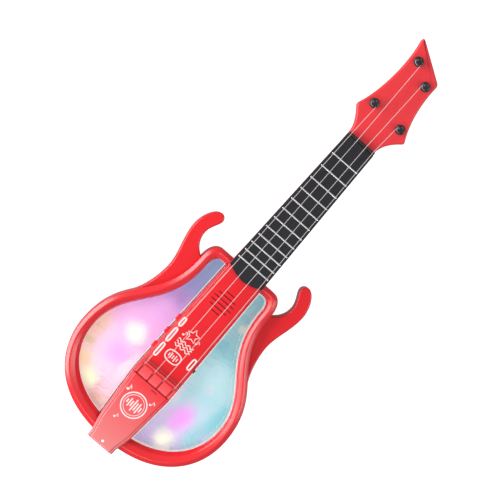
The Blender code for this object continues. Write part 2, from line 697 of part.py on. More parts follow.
def make_bridge():
    red = plastic("red_gloss_bridge", RED, 0.24)
    base = DECK_TOP + GAP
    end_y = DECK_END_Y + 0.4 * MM
    half = deck_half_width(BRIDGE_TOP_Y) - 1.4 * MM
    side = [
        (BRIDGE_TOP_Y, base), (BRIDGE_TOP_Y, base + 1.6 * MM), (BRIDGE_TOP_Y - 2.0 * MM, base + 2.6 * MM),
        (SADDLE_Y + 0.8 * MM, SADDLE_TOP), (SADDLE_Y - 0.8 * MM, SADDLE_TOP),
        (SADDLE_Y - 2.4 * MM, DECK_TOP + PAD_HEIGHT), (end_y, DECK_TOP + PAD_HEIGHT), (end_y, base),
    ]
    bm = bmesh.new()
    face = bm.faces.new([bm.verts.new((-half, y, z)) for y, z in side])
    pulled = bmesh.ops.extrude_face_region(bm, geom=[face])["geom"]
    bmesh.ops.translate(bm, vec=(2 * half, 0, 0), verts=[v for v in pulled if isinstance(v, bmesh.types.BMVert)])
    bridge = new_object("bridge", bm, red)
    cuts = []
    for x in SADDLE_STRING_XS:
        cuts.append(block("tool", (x - STRING_SLOT_WIDTH / 2, end_y - 5 * MM, DECK_TOP + 0.4 * PAD_HEIGHT),
                          (x + STRING_SLOT_WIDTH / 2, SADDLE_Y - 2.0 * MM, SADDLE_TOP + 5 * MM), None))
    return combine(bridge, "DIFFERENCE", *cuts)


def make_speaker():
    black = plastic("speaker_black", (0.03, 0.03, 0.032), 0.6)
    top = DECK_TOP - DECK_WALL - GAP
    radius = SPEAKER_RADIUS
    profile = [
        (0, top - 9.5 * MM), (0.5 * radius, top - 9.5 * MM), (0.5 * radius, top - 5.5 * MM),
        (0.7 * radius, top - 4.8 * MM), (radius, top - 1.2 * MM), (radius, top), (0.86 * radius, top),
        (0.36 * radius, top - 3.0 * MM), (0.2 * radius, top - 2.0 * MM), (0, top - 1.7 * MM),
    ]
    turned("speaker", profile, black, (0, SPEAKER_Y, 0), 20)


# ---------------------------------------------------------------- buttons, switch, boards

def make_side_controls():
    clear = plastic("button_red", RED, 0.3)
    flange = 1.0 * MM
    lip = 1.2 * MM
    z = CONTROL_Z
    for number, y in enumerate(BUTTON_YS, 1):
        wall = -deck_half_width(y)
        inner = wall + DECK_WALL + GAP
        half = (BUTTON_LENGTH / 2, BUTTON_HEIGHT / 2)
        button = block(f"side_button_{number}", (wall - BUTTON_REACH, y - half[0], z - half[1]),
                       (inner + 0.5 * flange, y + half[0], z + half[1]), clear, 0.5 * MM)
        plate = block("tool", (inner + 0.2 * MM, y - half[0] - lip, z - half[1] - 0.6 * MM),
                      (inner + 0.2 * MM + flange, y + half[0] + lip, z + half[1] + 0.6 * MM), None)
        combine(button, "UNION", plate)
    black = plastic("switch_black", BLACK, 0.45)
    wall = deck_half_width(SWITCH_Y)
    inner = wall - DECK_WALL - GAP
    half = (SWITCH_LENGTH / 2, BUTTON_HEIGHT / 2)
    start = SWITCH_Y - SWITCH_TRAVEL / 2
    switch = block("power_switch", (inner - 0.5 * flange, start - half[0], z - half[1]),
                   (wall + SWITCH_REACH, start + half[0], z + half[1]), black, 0.4 * MM)
    reach = SWITCH_TRAVEL + lip
    plate = block("tool", (inner - 0.2 * MM - flange, start - half[0] - reach, z - half[1] - 0.6 * MM),
                  (inner - 0.2 * MM, start + half[0] + lip, z + half[1] + 0.6 * MM), None)
    combine(switch, "UNION", plate)


def make_boards():
    green = plastic("circuit_board_green", (0.02, 0.16, 0.06), 0.4)
    top_y = SPEAKER_Y - SPEAKER_RADIUS - 4 * MM
    end_y = DECK_END_Y + DECK_WALL + 3 * MM
    sheet_top = CONTROL_Z - BUTTON_HEIGHT / 2 - 1.4 * MM
    half = deck_half_width(top_y) - DECK_WALL - 4.2 * MM
    board = block("main_board", (-half, end_y, sheet_top - BOARD_SHEET), (half, top_y, sheet_top), green)
    parts = []
    body_top = sheet_top + 3.2 * MM
    for y in BUTTON_YS:
        parts.append(block("tool", (-half, y - 3 * MM, sheet_top - 0.5 * MM),
                           (-half + 4 * MM, y + 3 * MM, body_top), None))
    parts.append(block("tool", (half - 5 * MM, SWITCH_Y - 5 * MM, sheet_top - 0.5 * MM),
                       (half, SWITCH_Y + 5 * MM, body_top), None))
    chip_y = BUTTON_YS[1]
    parts.append(block("tool", (-5 * MM, chip_y - 5 * MM, sheet_top - 0.5 * MM),
                       (5 * MM, chip_y + 5 * MM, sheet_top + 1.5 * MM), None))
    combine(board, "UNION", *parts)
    floor = BOX_FLOOR
    low_y, high_y = LIGHT_BOARD_YS
    for label, side in (("left", -1), ("right", 1)):
        x = side * LIGHT_BOARD_X
        strip = block(label + "_led_board", (x - LIGHT_BOARD_WIDTH / 2, low_y, floor),
                      (x + LIGHT_BOARD_WIDTH / 2, high_y, floor + BOARD_SHEET), green)
        leds = []
        for place in range(LED_COUNT):
            y = low_y + (high_y - low_y) * (0.12 + 0.76 * place / (LED_COUNT - 1))
            base, dome = floor + 0.5 * BOARD_SHEET, floor + BOARD_SHEET + LED_HEIGHT
            profile = [(0, base), (LED_RADIUS, base), (LED_RADIUS, dome - 1.8 * MM),
                       (0.7 * LED_RADIUS, dome - 0.5 * MM), (0, dome)]
            leds.append(turned("tool", profile, None, (x, y, 0), 10))
        combine(strip, "UNION", *leds)


# ---------------------------------------------------------------- neck and headstock

def neck_section(y, half_width, bottom, arc_steps=8):
    """D-shaped section: flat on top, round below."""
    section = [(half_width, NECK_TOP)]
    for step in range(arc_steps + 1):
        angle = math.pi * step / arc_steps
        reach = math.copysign(abs(math.cos(angle)) ** 0.7, math.cos(angle))
        drop = math.sin(angle) ** 0.7
        section.append((half_width * reach, NECK_TOP - 2.5 * MM - (NECK_TOP - 2.5 * MM - bottom) * drop))
    section.append((-half_width, NECK_TOP))
    return [(x, y, z) for x, z in section]


def make_neck():
    red = plastic("red_satin_neck", RED, 0.38)
    slim = NECK_TOP - NECK_DEPTH
    stations = [
        (GAP, HEEL_BOTTOM), (0.5 * HEEL_LENGTH, HEEL_BOTTOM + 0.5 * MM), (HEEL_LENGTH, HEEL_BOTTOM + 4 * MM),
        (1.7 * HEEL_LENGTH, slim - 3.5 * MM), (2.6 * HEEL_LENGTH, slim - 0.5 * MM), (0.45 * NECK_LENGTH, slim),
        (NECK_LENGTH - 9 * MM, slim + 0.8 * MM), (NECK_LENGTH, HEAD_BOTTOM),
    ]
    bm = bmesh.new()
    rings = []
    for y, bottom in stations:
        half = board_half_width(y) - 0.2 * MM
        rings.append([bm.verts.new(point) for point in neck_section(y, half, bottom)])
    skin(bm, rings)
    neck = new_object("neck", bm, red)
    outline = head_loop()
    edge = 1.2 * MM
    head = stacked("tool", [
        (inset(outline, edge), HEAD_BOTTOM), (outline, HEAD_BOTTOM + edge),
        (outline, HEAD_TOP - edge), (inset(outline, edge), HEAD_TOP)], None)
    tenon = block("tool", (-TENON_HALF_WIDTH, -TENON_LENGTH, TENON_BOTTOM),
                  (TENON_HALF_WIDTH, 3 * MM, TUB_HEIGHT - GAP), None)
    combine(neck, "UNION", head, tenon)
    cuts = [pin(HEAD_BOTTOM - 5 * MM, HEAD_TOP + 5 * MM, SHAFT_RADIUS + SLIDE_GAP, x, NECK_LENGTH + y)
            for _, x, y, _ in TUNERS]
    cuts += [pin(TENON_BOTTOM - 5 * MM, TUB_HEIGHT - 4 * MM, SCREW_SHANK_RADIUS + GAP, x, y, 10)
             for _, x, y in neck_screw_places()]
    return combine(neck, "DIFFERENCE", *cuts)


def make_fretboard():
    black = plastic("fretboard_black", (0.02, 0.02, 0.022), 0.5)
    end_y = NECK_LENGTH - NUT_THICK - 2 * GAP
    shoulder_y = -BOARD_OVERLAP + BOARD_POINT
    right = [(board_half_width(shoulder_y), shoulder_y), (board_half_width(end_y), end_y)]
    outline = [(0, -BOARD_OVERLAP), (0.5 * right[0][0], -BOARD_OVERLAP + 0.35 * BOARD_POINT)] + right
    outline = outline + [(-x, y) for x, y in reversed(outline[1:])]
    edge = 0.5 * MM
    return stacked("fretboard", [
        (outline, BOARD_BOTTOM), (outline, BOARD_TOP - edge), (inset(outline, edge), BOARD_TOP)], black)


def make_nut_and_frets():
    black = plastic("nut_black", BLACK, 0.4)
    block("nut", (-NUT_HALF_WIDTH + 0.5 * MM, NECK_LENGTH - NUT_THICK - GAP, NECK_TOP + GAP),
          (NUT_HALF_WIDTH - 0.5 * MM, NECK_LENGTH - GAP, NUT_TOP), black, 0.4 * MM)
    silver = plastic("fret_silver", STEEL, 0.3, 1.0)
    for number in range(1, FRET_COUNT + 1):
        y = FRET_DATUM_Y + FRET_SCALE * 2 ** (-number / 12)
        half = board_half_width(y) - FRET_INSET
        low = BOARD_TOP + GAP
        bm = bmesh.new()
        crown = [(-0.5, 0), (0.5, 0), (0.5, 0.45), (0.22, 1), (-0.22, 1), (-0.5, 0.45)]
        face = bm.faces.new([bm.verts.new((-half, y + FRET_WIDTH * a, low + FRET_HEIGHT * b))
                             for a, b in crown])
        pulled = bmesh.ops.extrude_face_region(bm, geom=[face])["geom"]
        bmesh.ops.translate(bm, vec=(2 * half, 0, 0),
                            verts=[v for v in pulled if isinstance(v, bmesh.types.BMVert)])
        new_object(f"fret_{number:02d}", bm, silver)


def make_tuners():
    black = plastic("tuner_black", BLACK, 0.25)
    for number, x, y, _ in TUNERS:
        place_y = NECK_LENGTH + y
        low = HEAD_TOP + GAP
        hole = SHAFT_RADIUS + SLIDE_GAP
        ring_profile = [(hole, low), (BUSHING_RADIUS, low), (BUSHING_RADIUS, low + 0.6 * BUSHING_HEIGHT),
                        (BUSHING_RADIUS - 0.8 * MM, low + BUSHING_HEIGHT), (hole, low + BUSHING_HEIGHT)]
        bm = bmesh.new()
        rings = []
        for radius, height in ring_profile:
            rings.append([bm.verts.new((radius * math.cos(math.tau * i / 20),
                                        radius * math.sin(math.tau * i / 20), height)) for i in range(20)])
        skin(bm, rings, closed_section=True)
        ring = new_object(f"tuner_bushing_{number}", bm, black)
        ring.location = (x, place_y, 0)
        spool_low = low + BUSHING_HEIGHT + SLIDE_GAP
        spool_high = spool_low + SPOOL_HEIGHT
        stem_top = HEAD_BOTTOM - SLIDE_GAP
        knob_top = stem_top - KNOB_STEM
        profile = [
            (0, knob_top - 1 * MM), (SPOOL_RADIUS, knob_top - 1 * MM), (SPOOL_RADIUS + 1.2 * MM, stem_top - 1 * MM),
            (SPOOL_RADIUS + 1.2 * MM, stem_top), (SHAFT_RADIUS, stem_top), (SHAFT_RADIUS, spool_low),
            (SPOOL_RADIUS, spool_low), (SPOOL_RADIUS, spool_high), (CAP_RADIUS, spool_high + 0.2 * MM),
            (CAP_RADIUS, spool_high + 0.7 * CAP_HEIGHT), (0.75 * CAP_RADIUS, spool_high + CAP_HEIGHT),
            (0, spool_high + CAP_HEIGHT),
        ]
        peg = turned(f"tuner_peg_{number}", profile, black, (x, place_y, 0), 16)
        wing = block("tool", (x - KNOB_THICK / 2, place_y - KNOB_LENGTH / 2, knob_top - KNOB_HEIGHT),
                     (x + KNOB_THICK / 2, place_y + KNOB_LENGTH / 2, knob_top), None, 1.5 * MM)
        combine(peg, "UNION", wing)


def make_strings():
    nylon = plastic("string_nylon", (0.85, 0.82, 0.80), 0.3)
    saddle_z = SADDLE_TOP + STRING_LIFT
    nut_z = NUT_TOP + STRING_LIFT
    anchor_z = DECK_TOP + 0.4 * PAD_HEIGHT + STRING_LIFT
    wind_z = HEAD_TOP + GAP + BUSHING_HEIGHT + SLIDE_GAP + 0.45 * SPOOL_HEIGHT
    for (number, post_x, post_y, side), nut_x, saddle_x in zip(TUNERS, NUT_STRING_XS, SADDLE_STRING_XS):
        tangent_x = post_x + side * (SPOOL_RADIUS + SLIDE_GAP + STRING_RADIUS)
        route = [
            (saddle_x, DECK_END_Y + 3.0 * MM, anchor_z), (saddle_x, SADDLE_Y - 3.4 * MM, anchor_z + 0.6 * MM),
            (saddle_x, SADDLE_Y - 1.2 * MM, saddle_z - 0.1 * MM), (saddle_x, SADDLE_Y, saddle_z + 0.05 * MM),
            (nut_x, NECK_LENGTH - GAP - NUT_THICK / 2, nut_z),
            (nut_x + 0.04 * (tangent_x - nut_x), NECK_LENGTH + 1.0 * MM, nut_z - 0.1 * MM),
            (tangent_x, NECK_LENGTH + post_y + 0.5 * MM, wind_z),
        ]
        curve = bpy.data.curves.new(f"string_{number}", "CURVE")
        curve.dimensions = "3D"
        curve.bevel_depth = STRING_RADIUS
        curve.bevel_resolution = 1
        curve.use_fill_caps = True
        spline = curve.splines.new("POLY")
        spline.points.add(len(route) - 1)
        for point, place in zip(spline.points, route):
            point.co = (*place, 1)
        curve.materials.append(nylon)
        string = bpy.data.objects.new(f"string_{number}", curve)
        bpy.context.scene.collection.objects.link(string)
        string.parent = guitar


# ---------------------------------------------------------------- power and fasteners

def make_power():
    black = plastic("battery_box_black", (0.02, 0.02, 0.022), 0.5)
    red = plastic("red_gloss_door", RED, 0.3)
    metal = plastic("contact_metal", STEEL, 0.35, 1.0)
    half_width, half_length = battery_sizes()
    floor, roof = BOX_FLOOR, BOX_ROOF
    low_x, high_x = -half_width - BOX_WALL, half_width + BOX_WALL
    low_y, high_y = BATTERY_Y - half_length - BOX_WALL, BATTERY_Y + half_length + BOX_WALL
    tab_y = BATTERY_Y - half_length - 0.55 * DOOR_TAB
    box = block("battery_box", (low_x, low_y, floor), (high_x, high_y, roof + BOX_WALL), black)
    lug = block("tool", (-BOSS_RADIUS, tab_y - BOSS_RADIUS, floor), (BOSS_RADIUS, low_y + 1 * MM, roof), None)
    combine(box, "UNION", lug)
    well = block("tool", (-half_width, BATTERY_Y - half_length, floor - 5 * MM),
                 (half_width, BATTERY_Y + half_length, roof), None)
    screw_hole = pin(floor - 5 * MM, roof - 2 * MM, SCREW_SHANK_RADIUS + GAP, 0, tab_y, 10)
    combine(box, "DIFFERENCE", well, screw_hole)
    (hole_low_x, hole_low_y), (hole_high_x, hole_high_y) = door_opening()
    door_low_z = GAP
    door = block("battery_door", (hole_low_x + SLIDE_GAP, hole_low_y + SLIDE_GAP, door_low_z),
                 (hole_high_x - SLIDE_GAP, hole_high_y - SLIDE_GAP, door_low_z + DOOR_THICK), red, 0.3 * MM)
    seat = door_low_z + 0.9 * MM
    combine(door, "DIFFERENCE",
            pin(-5 * MM, seat, SCREW_HEAD_RADIUS + GAP, 0, tab_y),
            pin(-6 * MM, 5 * MM, SCREW_SHANK_RADIUS + GAP, 0, tab_y, 10))
    head_top = seat - GAP
    profile = [(0, head_top - 0.45 * MM), (SCREW_HEAD_RADIUS, head_top - 0.45 * MM), (SCREW_HEAD_RADIUS, head_top),
               (SCREW_SHANK_RADIUS, head_top), (SCREW_SHANK_RADIUS, head_top + 9 * MM), (0, head_top + 10 * MM)]
    turned("battery_door_screw", profile, metal, (0, tab_y, 0), 12)
    jacket = plastic("battery_jacket", (0.05, 0.10, 0.25), 0.3)
    centre_z = floor + GAP + CELL_RADIUS
    for number in range(CELL_COUNT):
        facing = 1 if number % 2 == 0 else -1
        body = CELL_LENGTH / 2 - GAP
        profile = [(0, -body), (CELL_RADIUS, -body), (CELL_RADIUS, body - CELL_NUB_LENGTH),
                   (CELL_NUB_RADIUS, body - CELL_NUB_LENGTH), (CELL_NUB_RADIUS, body), (0, body)]
        x = (number - (CELL_COUNT - 1) / 2) * CELL_PITCH
        turned(f"battery_{number + 1}", profile, jacket, (x, BATTERY_Y, centre_z), 16,
               (-facing * math.pi / 2, 0, 0))
    for label, side in (("upper", 1), ("lower", -1)):
        near = BATTERY_Y + side * (CELL_LENGTH / 2 + GAP)
        far = near + side * CONTACT_THICK
        block("battery_contact_" + label, (-half_width + 1 * MM, min(near, far), floor + 1 * MM),
              (half_width - 1 * MM, max(near, far), roof - 2 * MM), metal)


def make_screws():
    steel = plastic("screw_steel", STEEL, 0.35, 1.0)
    seat = SCREW_SINK + SCREW_HEAD_HEIGHT
    for places, tip in ((screw_places(), TUB_HEIGHT + 4 * MM), (neck_screw_places(), TUB_HEIGHT - 5 * MM)):
        for name, x, y in places:
            profile = [(0, SCREW_SINK), (0.7 * SCREW_HEAD_RADIUS, SCREW_SINK),
                       (SCREW_HEAD_RADIUS, SCREW_SINK + 0.6 * MM), (SCREW_HEAD_RADIUS, seat),
                       (SCREW_SHANK_RADIUS, seat), (SCREW_SHANK_RADIUS, tip - 1.5 * MM), (0, tip)]
            turned(name, profile, steel, (x, y, 0), 12)


# ---------------------------------------------------------------- the guitar

for old in list(bpy.data.objects):
    bpy.data.objects.remove(old)

guitar = bpy.data.objects.new("guitar", None)
bpy.context.scene.collection.objects.link(guitar)
make_back_shell()
make_front_frame()
make_panes()
make_control_deck()
make_tail_plate()
make_bridge()
make_speaker()
make_side_controls()
make_boards()
make_neck()
make_fretboard()
make_nut_and_frets()
make_tuners()
make_strings()
make_power()
make_screws()
guitar.location.y = -(max(y for _, y in head_loop()) + TAIL_END_Y) / 2
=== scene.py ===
"""Looks of a toy electric guitar with a light-up body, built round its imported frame.

The guitar lies on its back: +Z comes out of its front, +Y runs up the neck and +X is its right side.
Plan points are (x, y) in metres, y counted from the shoulder line, where the body ends and the neck starts.
"""
import math

import bmesh
import bpy
from mathutils import Matrix, Vector


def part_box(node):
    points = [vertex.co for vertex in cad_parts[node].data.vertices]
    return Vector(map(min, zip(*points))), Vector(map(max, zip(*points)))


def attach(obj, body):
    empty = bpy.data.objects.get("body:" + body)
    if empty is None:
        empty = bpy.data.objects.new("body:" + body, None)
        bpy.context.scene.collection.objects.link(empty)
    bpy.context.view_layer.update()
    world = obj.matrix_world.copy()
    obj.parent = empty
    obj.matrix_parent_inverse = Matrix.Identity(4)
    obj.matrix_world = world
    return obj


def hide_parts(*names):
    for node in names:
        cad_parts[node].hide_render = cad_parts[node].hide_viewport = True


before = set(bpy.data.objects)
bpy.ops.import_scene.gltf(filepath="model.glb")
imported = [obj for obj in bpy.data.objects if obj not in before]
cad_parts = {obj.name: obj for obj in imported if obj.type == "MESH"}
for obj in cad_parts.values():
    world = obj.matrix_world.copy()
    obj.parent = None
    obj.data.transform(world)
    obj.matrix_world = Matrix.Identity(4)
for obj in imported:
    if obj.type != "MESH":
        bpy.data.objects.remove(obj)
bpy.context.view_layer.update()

MM = 0.001


# ---------------------------------------------------------------- table, camera and lamps
# A matt white table top lit from all round, so that the guitar hardly casts a shadow. The camera hangs over
# the middle of the guitar and is turned so that the neck points up and to the right.

def feed(tree, inputs, values):
    """Sets inputs by name or number: one that gets a socket is linked to it, any other gets the value."""
    for key, value in values.items():
        if isinstance(value, bpy.types.NodeSocket):
            tree.links.new(value, inputs[key])
        else:
            inputs[key].default_value = value


def wire(tree, kind, values=None, **settings):
    """New node with its settings and its inputs."""
    made = tree.nodes.new(kind)
    for key, value in settings.items():
        setattr(made, key, value)
    feed(tree, made.inputs, values or {})
    return made


def mix(tree, share, first, second):
    """Colour between two colours."""
    values = {"Factor": share, "A": first, "B": second}
    return wire(tree, "ShaderNodeMix", values, data_type="RGBA").outputs["Result"]


def ranged(tree, value, low=0.0, high=1.0, to_low=0.0, to_high=1.0, **settings):
    """Value carried from one range to another."""
    limits = {"Value": value, "From Min": low, "From Max": high, "To Min": to_low, "To Max": to_high}
    return wire(tree, "ShaderNodeMapRange", limits, **settings).outputs["Result"]


def new_material(name):
    """Material, its node tree and its shader."""
    material = bpy.data.materials.new(name)
    material.use_nodes = True
    return material, material.node_tree, material.node_tree.nodes["Principled BSDF"]


TABLE_REACH = 6.0
TABLE_DROP = 0.2 * MM
TABLE_GLOW = 1.04        # how bright the table looks by itself
TABLE_BOUNCE = 0.16      # and how much of that lights the guitar

table_material, tree, shader = new_material("table_white")
weave = wire(tree, "ShaderNodeTexNoise", {"Scale": 3.0, "Detail": 2.0})
seen = wire(tree, "ShaderNodeLightPath").outputs["Is Camera Ray"]
feed(tree, shader.inputs, {
    "Base Color": mix(tree, weave.outputs["Fac"], (0.200, 0.200, 0.202, 1), (0.215, 0.215, 0.215, 1)),
    "Roughness": 0.9, "Specular IOR Level": 0.1, "Emission Color": (1.0, 1.0, 1.0, 1),
    "Emission Strength": ranged(tree, seen, to_low=TABLE_BOUNCE, to_high=TABLE_GLOW)})

bm = bmesh.new()
bmesh.ops.create_grid(bm, x_segments=4, y_segments=4, size=TABLE_REACH)
bmesh.ops.translate(bm, vec=(0, 0, -TABLE_DROP), verts=bm.verts)
table_mesh = bpy.data.meshes.new("table_top")
bm.to_mesh(table_mesh)
bm.free()
table_mesh.materials.append(table_material)
table_top = bpy.data.objects.new("table_top", table_mesh)
bpy.context.scene.collection.objects.link(table_top)

VIEW_WIDTH = 522.5 * MM         # what the camera sees, side to side, at the aim point
VIEW_DISTANCE = 2.0
SENSOR_WIDTH = 36.0
VIEW_ROLL = math.radians(40.99)
VIEW_TILT = math.radians(-4.5)
VIEW_AIM = Vector((-0.0139, -0.0146, 0.028))

camera_data = bpy.data.cameras.new("camera")
camera_data.sensor_width = SENSOR_WIDTH
camera_data.lens = SENSOR_WIDTH * VIEW_DISTANCE / VIEW_WIDTH
camera = bpy.data.objects.new("camera", camera_data)
bpy.context.scene.collection.objects.link(camera)
view_turn = Matrix.Rotation(VIEW_TILT, 4, "Y") @ Matrix.Rotation(VIEW_ROLL, 4, "Z")
camera.matrix_world = Matrix.Translation(VIEW_AIM) @ view_turn @ Matrix.Translation((0, 0, VIEW_DISTANCE))
bpy.context.scene.camera = camera
bpy.context.scene.view_settings.view_transform = "Standard"

world = bpy.data.worlds.new("studio")
world.use_nodes = True
feed(world.node_tree, world.node_tree.nodes["Background"].inputs, {
    "Color": (1.0, 0.985, 0.98, 1), "Strength": 0.40})
bpy.context.scene.world = world

# name, direction from the guitar, distance, width and height of the soft box, watts
LAMPS = (
    ("key_lamp", (-0.85, -0.34, 0.47), 1.7, 2.2, 1.0, 46.0),
    ("low_lamp", (0.12, -0.70, 1.0), 1.9, 0.9, 0.5, 7.0),
    ("far_lamp", (0.80, 0.30, 0.70), 1.9, 0.9, 1.2, 12.0),
)
for name, direction, distance, width, height, watts in LAMPS:
    lamp_data = bpy.data.lights.new(name, "AREA")
    lamp_data.shape = "RECTANGLE"
    lamp_data.size = width
    lamp_data.size_y = height
    lamp_data.energy = watts
    lamp = bpy.data.objects.new(name, lamp_data)
    bpy.context.scene.collection.objects.link(lamp)
    lamp.location = VIEW_AIM + Vector(direction).normalized() * distance
    lamp.rotation_euler = Vector(direction).to_track_quat("Z", "Y").to_euler()


# ---------------------------------------------------------------- back shell
# A deep tub of red polystyrene with the two horns, moulded in one piece, polished in the mould. Eight
# screws go up through it, and its back has the opening for the battery door.

SHOULDER_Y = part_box("front_frame")[1].y
BODY_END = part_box("front_frame")[0].y - SHOULDER_Y
BOUT_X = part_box("front_frame")[1].x
BOUT_Y = -151.2 * MM
WAIST = (48.2 * MM, -20.9 * MM)
SHOULDER_X = 34.5 * MM
TUB_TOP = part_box("back_shell")[1].z
TUB_WALL = 2.2 * MM
FLANK_STEPS = (33, 36, 12)      # points along the lower flank, the upper flank and the shoulder corner
HORN_LEAVES = 15                # step of the upper flank where the horn leaves it
HORN_THROAT = (67.0 * MM, -49.3 * MM)
HORN_BACK = (75.6 * MM, 0.5 * MM)
HORN_INNER = (61.3 * MM, 0.5 * MM)
HORN_TIP = (60.6 * MM, 27.5 * MM)
HORN_TOE = (54.3 * MM, 20.7 * MM)
SCREW_RADIUS = 2.7 * MM
SCREW_SINK = 0.5 * MM
SCREW_HEAD = 1.7 * MM
PILOT_RADIUS = 1.6 * MM         # clearance hole for a screw's shank
FIT = 0.3 * MM                  # room round a part that sits in another
SPIN_ROOM = 0.35 * MM           # room round a part that turns or slides


def cubic(start, handle_a, handle_b, end, steps):
    """Points of a cubic curve, both ends included."""
    points = []
    for step in range(steps + 1):
        t = step / steps
        s = 1 - t
        weights = (s ** 3, 3 * s * s * t, 3 * s * t * t, t ** 3)
        corners = (start, handle_a, handle_b, end)
        points.append(tuple(sum(w * p[axis] for w, p in zip(weights, corners)) for axis in (0, 1)))
    return points


def chain(*parts):
    """One open line from parts that meet end to end."""
    line = list(parts[0])
    for part in parts[1:]:
        line += part[1:]
    return line


def both_sides(right_half):
    """Closed loop from a right half that starts and ends on the centre line."""
    return right_half + [(-x, y) for x, y in reversed(right_half[1:-1])]


def blend(loop_a, loop_b, share):
    """Loop that lies a share of the way from one loop to another with as many points."""
    return [(ax + (bx - ax) * share, ay + (by - ay) * share) for (ax, ay), (bx, by) in zip(loop_a, loop_b)]


def inset(loop, distance):
    """Counter-clockwise loop moved inwards by a distance."""
    moved = []
    count = len(loop)
    for index in range(count):
        here = Vector(loop[index])
        before = (here - Vector(loop[index - 1])).normalized()
        after = (Vector(loop[(index + 1) % count]) - here).normalized()
        middle = (before + after).normalized()
        spread = max(middle.dot(after), 0.6)
        moved.append(tuple(here + Vector((-middle.y, middle.x)) * (distance / spread)))
    return moved


def body_flanks():
    """Right side of the body: below the bout, above it, the shoulder corner and the shoulder."""
    bout = (BOUT_X, BOUT_Y)
    lower_swing = 0.53 * (BOUT_Y - BODY_END)
    upper_swing = 0.508 * (WAIST[1] - BOUT_Y)
    lower = cubic((0, BODY_END), (0.68 * BOUT_X, BODY_END), (BOUT_X, BOUT_Y - lower_swing), bout,
                  FLANK_STEPS[0])
    upper = cubic(bout, (BOUT_X, BOUT_Y + upper_swing), (WAIST[0], WAIST[1] - upper_swing), WAIST,
                  FLANK_STEPS[1])
    corner = cubic(WAIST, (WAIST[0], 0.43 * WAIST[1]), (SHOULDER_X + 0.65 * (WAIST[0] - SHOULDER_X), 0),
                   (SHOULDER_X, 0), FLANK_STEPS[2])
    shoulder = [(SHOULDER_X, 0), (0.5 * SHOULDER_X, 0), (0, 0)]
    return lower, upper, corner, shoulder


def beside(point, right, up):
    """Plan point some millimetres away from another."""
    return point[0] + right * MM, point[1] + up * MM


def horned_loop():
    """Outer edge of the tub: the body with a horn curling up on each side."""
    lower, upper, corner, shoulder = body_flanks()
    start = upper[HORN_LEAVES]
    heading = (Vector(upper[HORN_LEAVES + 2]) - Vector(upper[HORN_LEAVES - 2])).normalized()
    depart = tuple(Vector(start) + heading * 0.3 * (HORN_THROAT[1] - start[1]))
    legs = (
        (start, depart, beside(HORN_THROAT, 0, -13), HORN_THROAT, 14),
        (HORN_THROAT, beside(HORN_THROAT, 0, 16), beside(HORN_BACK, 0, -18), HORN_BACK, 18),
        (HORN_BACK, beside(HORN_BACK, 0, 11.5), beside(HORN_TIP, 8.4, -1.0), HORN_TIP, 16),
        (HORN_TIP, beside(HORN_TIP, -3.6, 0.4), beside(HORN_TOE, -0.3, 3.8), HORN_TOE, 9),
        (HORN_TOE, beside(HORN_TOE, 0.7, -5.2), beside(HORN_INNER, 0, 8), HORN_INNER, 12),
        (HORN_INNER, beside(HORN_INNER, 0, -10), beside(WAIST, 7, 4), WAIST, 12),
    )
    half = chain(lower, upper[:HORN_LEAVES + 1], *(cubic(*leg) for leg in legs), corner, shoulder)
    return both_sides(half)


def skin(bm, rings, closed_section=False):
    """Faces between rings of vertices with as many points each, and caps unless it closes on itself."""
    pairs = list(zip(rings, rings[1:]))
    if closed_section:
        pairs.append((rings[-1], rings[0]))
    for low, high in pairs:
        count = len(low)
        for index in range(count):
            following = (index + 1) % count
            bm.faces.new((low[index], low[following], high[following], high[index]))
    if not closed_section:
        bm.faces.new(rings[0])
        bm.faces.new(rings[-1])


def new_solid(name, bm, shift_y=SHOULDER_Y):
    """Object from a closed bmesh, faces outwards; its points are counted from the shoulder line."""
    bmesh.ops.remove_doubles(bm, verts=bm.verts, dist=1e-7)
    bmesh.ops.recalc_face_normals(bm, faces=bm.faces)
    bmesh.ops.translate(bm, vec=(0, shift_y, 0), verts=bm.verts)
    mesh = bpy.data.meshes.new(name)
    bm.to_mesh(mesh)
    bm.free()
    obj = bpy.data.objects.new(name, mesh)
    bpy.context.scene.collection.objects.link(obj)
    return obj


def stacked(name, levels):
    """Solid skinned over (loop, height) levels."""
    bm = bmesh.new()
    skin(bm, [[bm.verts.new((x, y, height)) for x, y in loop] for loop, height in levels])
    return new_solid(name, bm)


def round_levels(loop, low, high, low_round, high_round, steps=5):
    """Levels for a slab with its lower and upper edges rounded."""
    levels = [] if low_round else [(loop, low)]
    for step in range(steps + 1 if low_round else 0):
        angle = 0.5 * math.pi * step / steps
        pull = low_round * (1 - math.sin(angle))
        levels.append((inset(loop, pull), low + low_round * (1 - math.cos(angle))))
    for step in range(steps + 1 if high_round else 0):
        angle = 0.5 * math.pi * step / steps
        pull = high_round * (1 - math.cos(angle))
        levels.append((inset(loop, pull), high - high_round * (1 - math.sin(angle))))
    return levels if high_round else levels + [(loop, high)]


def circle(radius, height, place, sides):
    """Points round an upright axis."""
    return [(place[0] + radius * math.cos(math.tau * side / sides),
             place[1] + radius * math.sin(math.tau * side / sides), height) for side in range(sides)]


def turned(name, profile, place=(0, 0), sides=48):
    """Solid turned about an upright axis from a (radius, height) profile that starts and ends on the axis."""
    bm = bmesh.new()
    skin(bm, [[bm.verts.new(point) for point in circle(radius, height, place, sides)]
              for radius, height in profile[1:-1]])
    return new_solid(name, bm)


def recentred(obj):
    """A shape made at the shoulder line, moved to the middle of the frame."""
    obj.data.transform(Matrix.Translation((0, -SHOULDER_Y, 0)))
    return obj


def pin(low_z, high_z, radius, x, y, sides=40):
    """Round tool or boss between two heights."""
    return turned("tool", [(0, low_z), (radius, low_z), (radius, high_z), (0, high_z)], (x, y), sides)


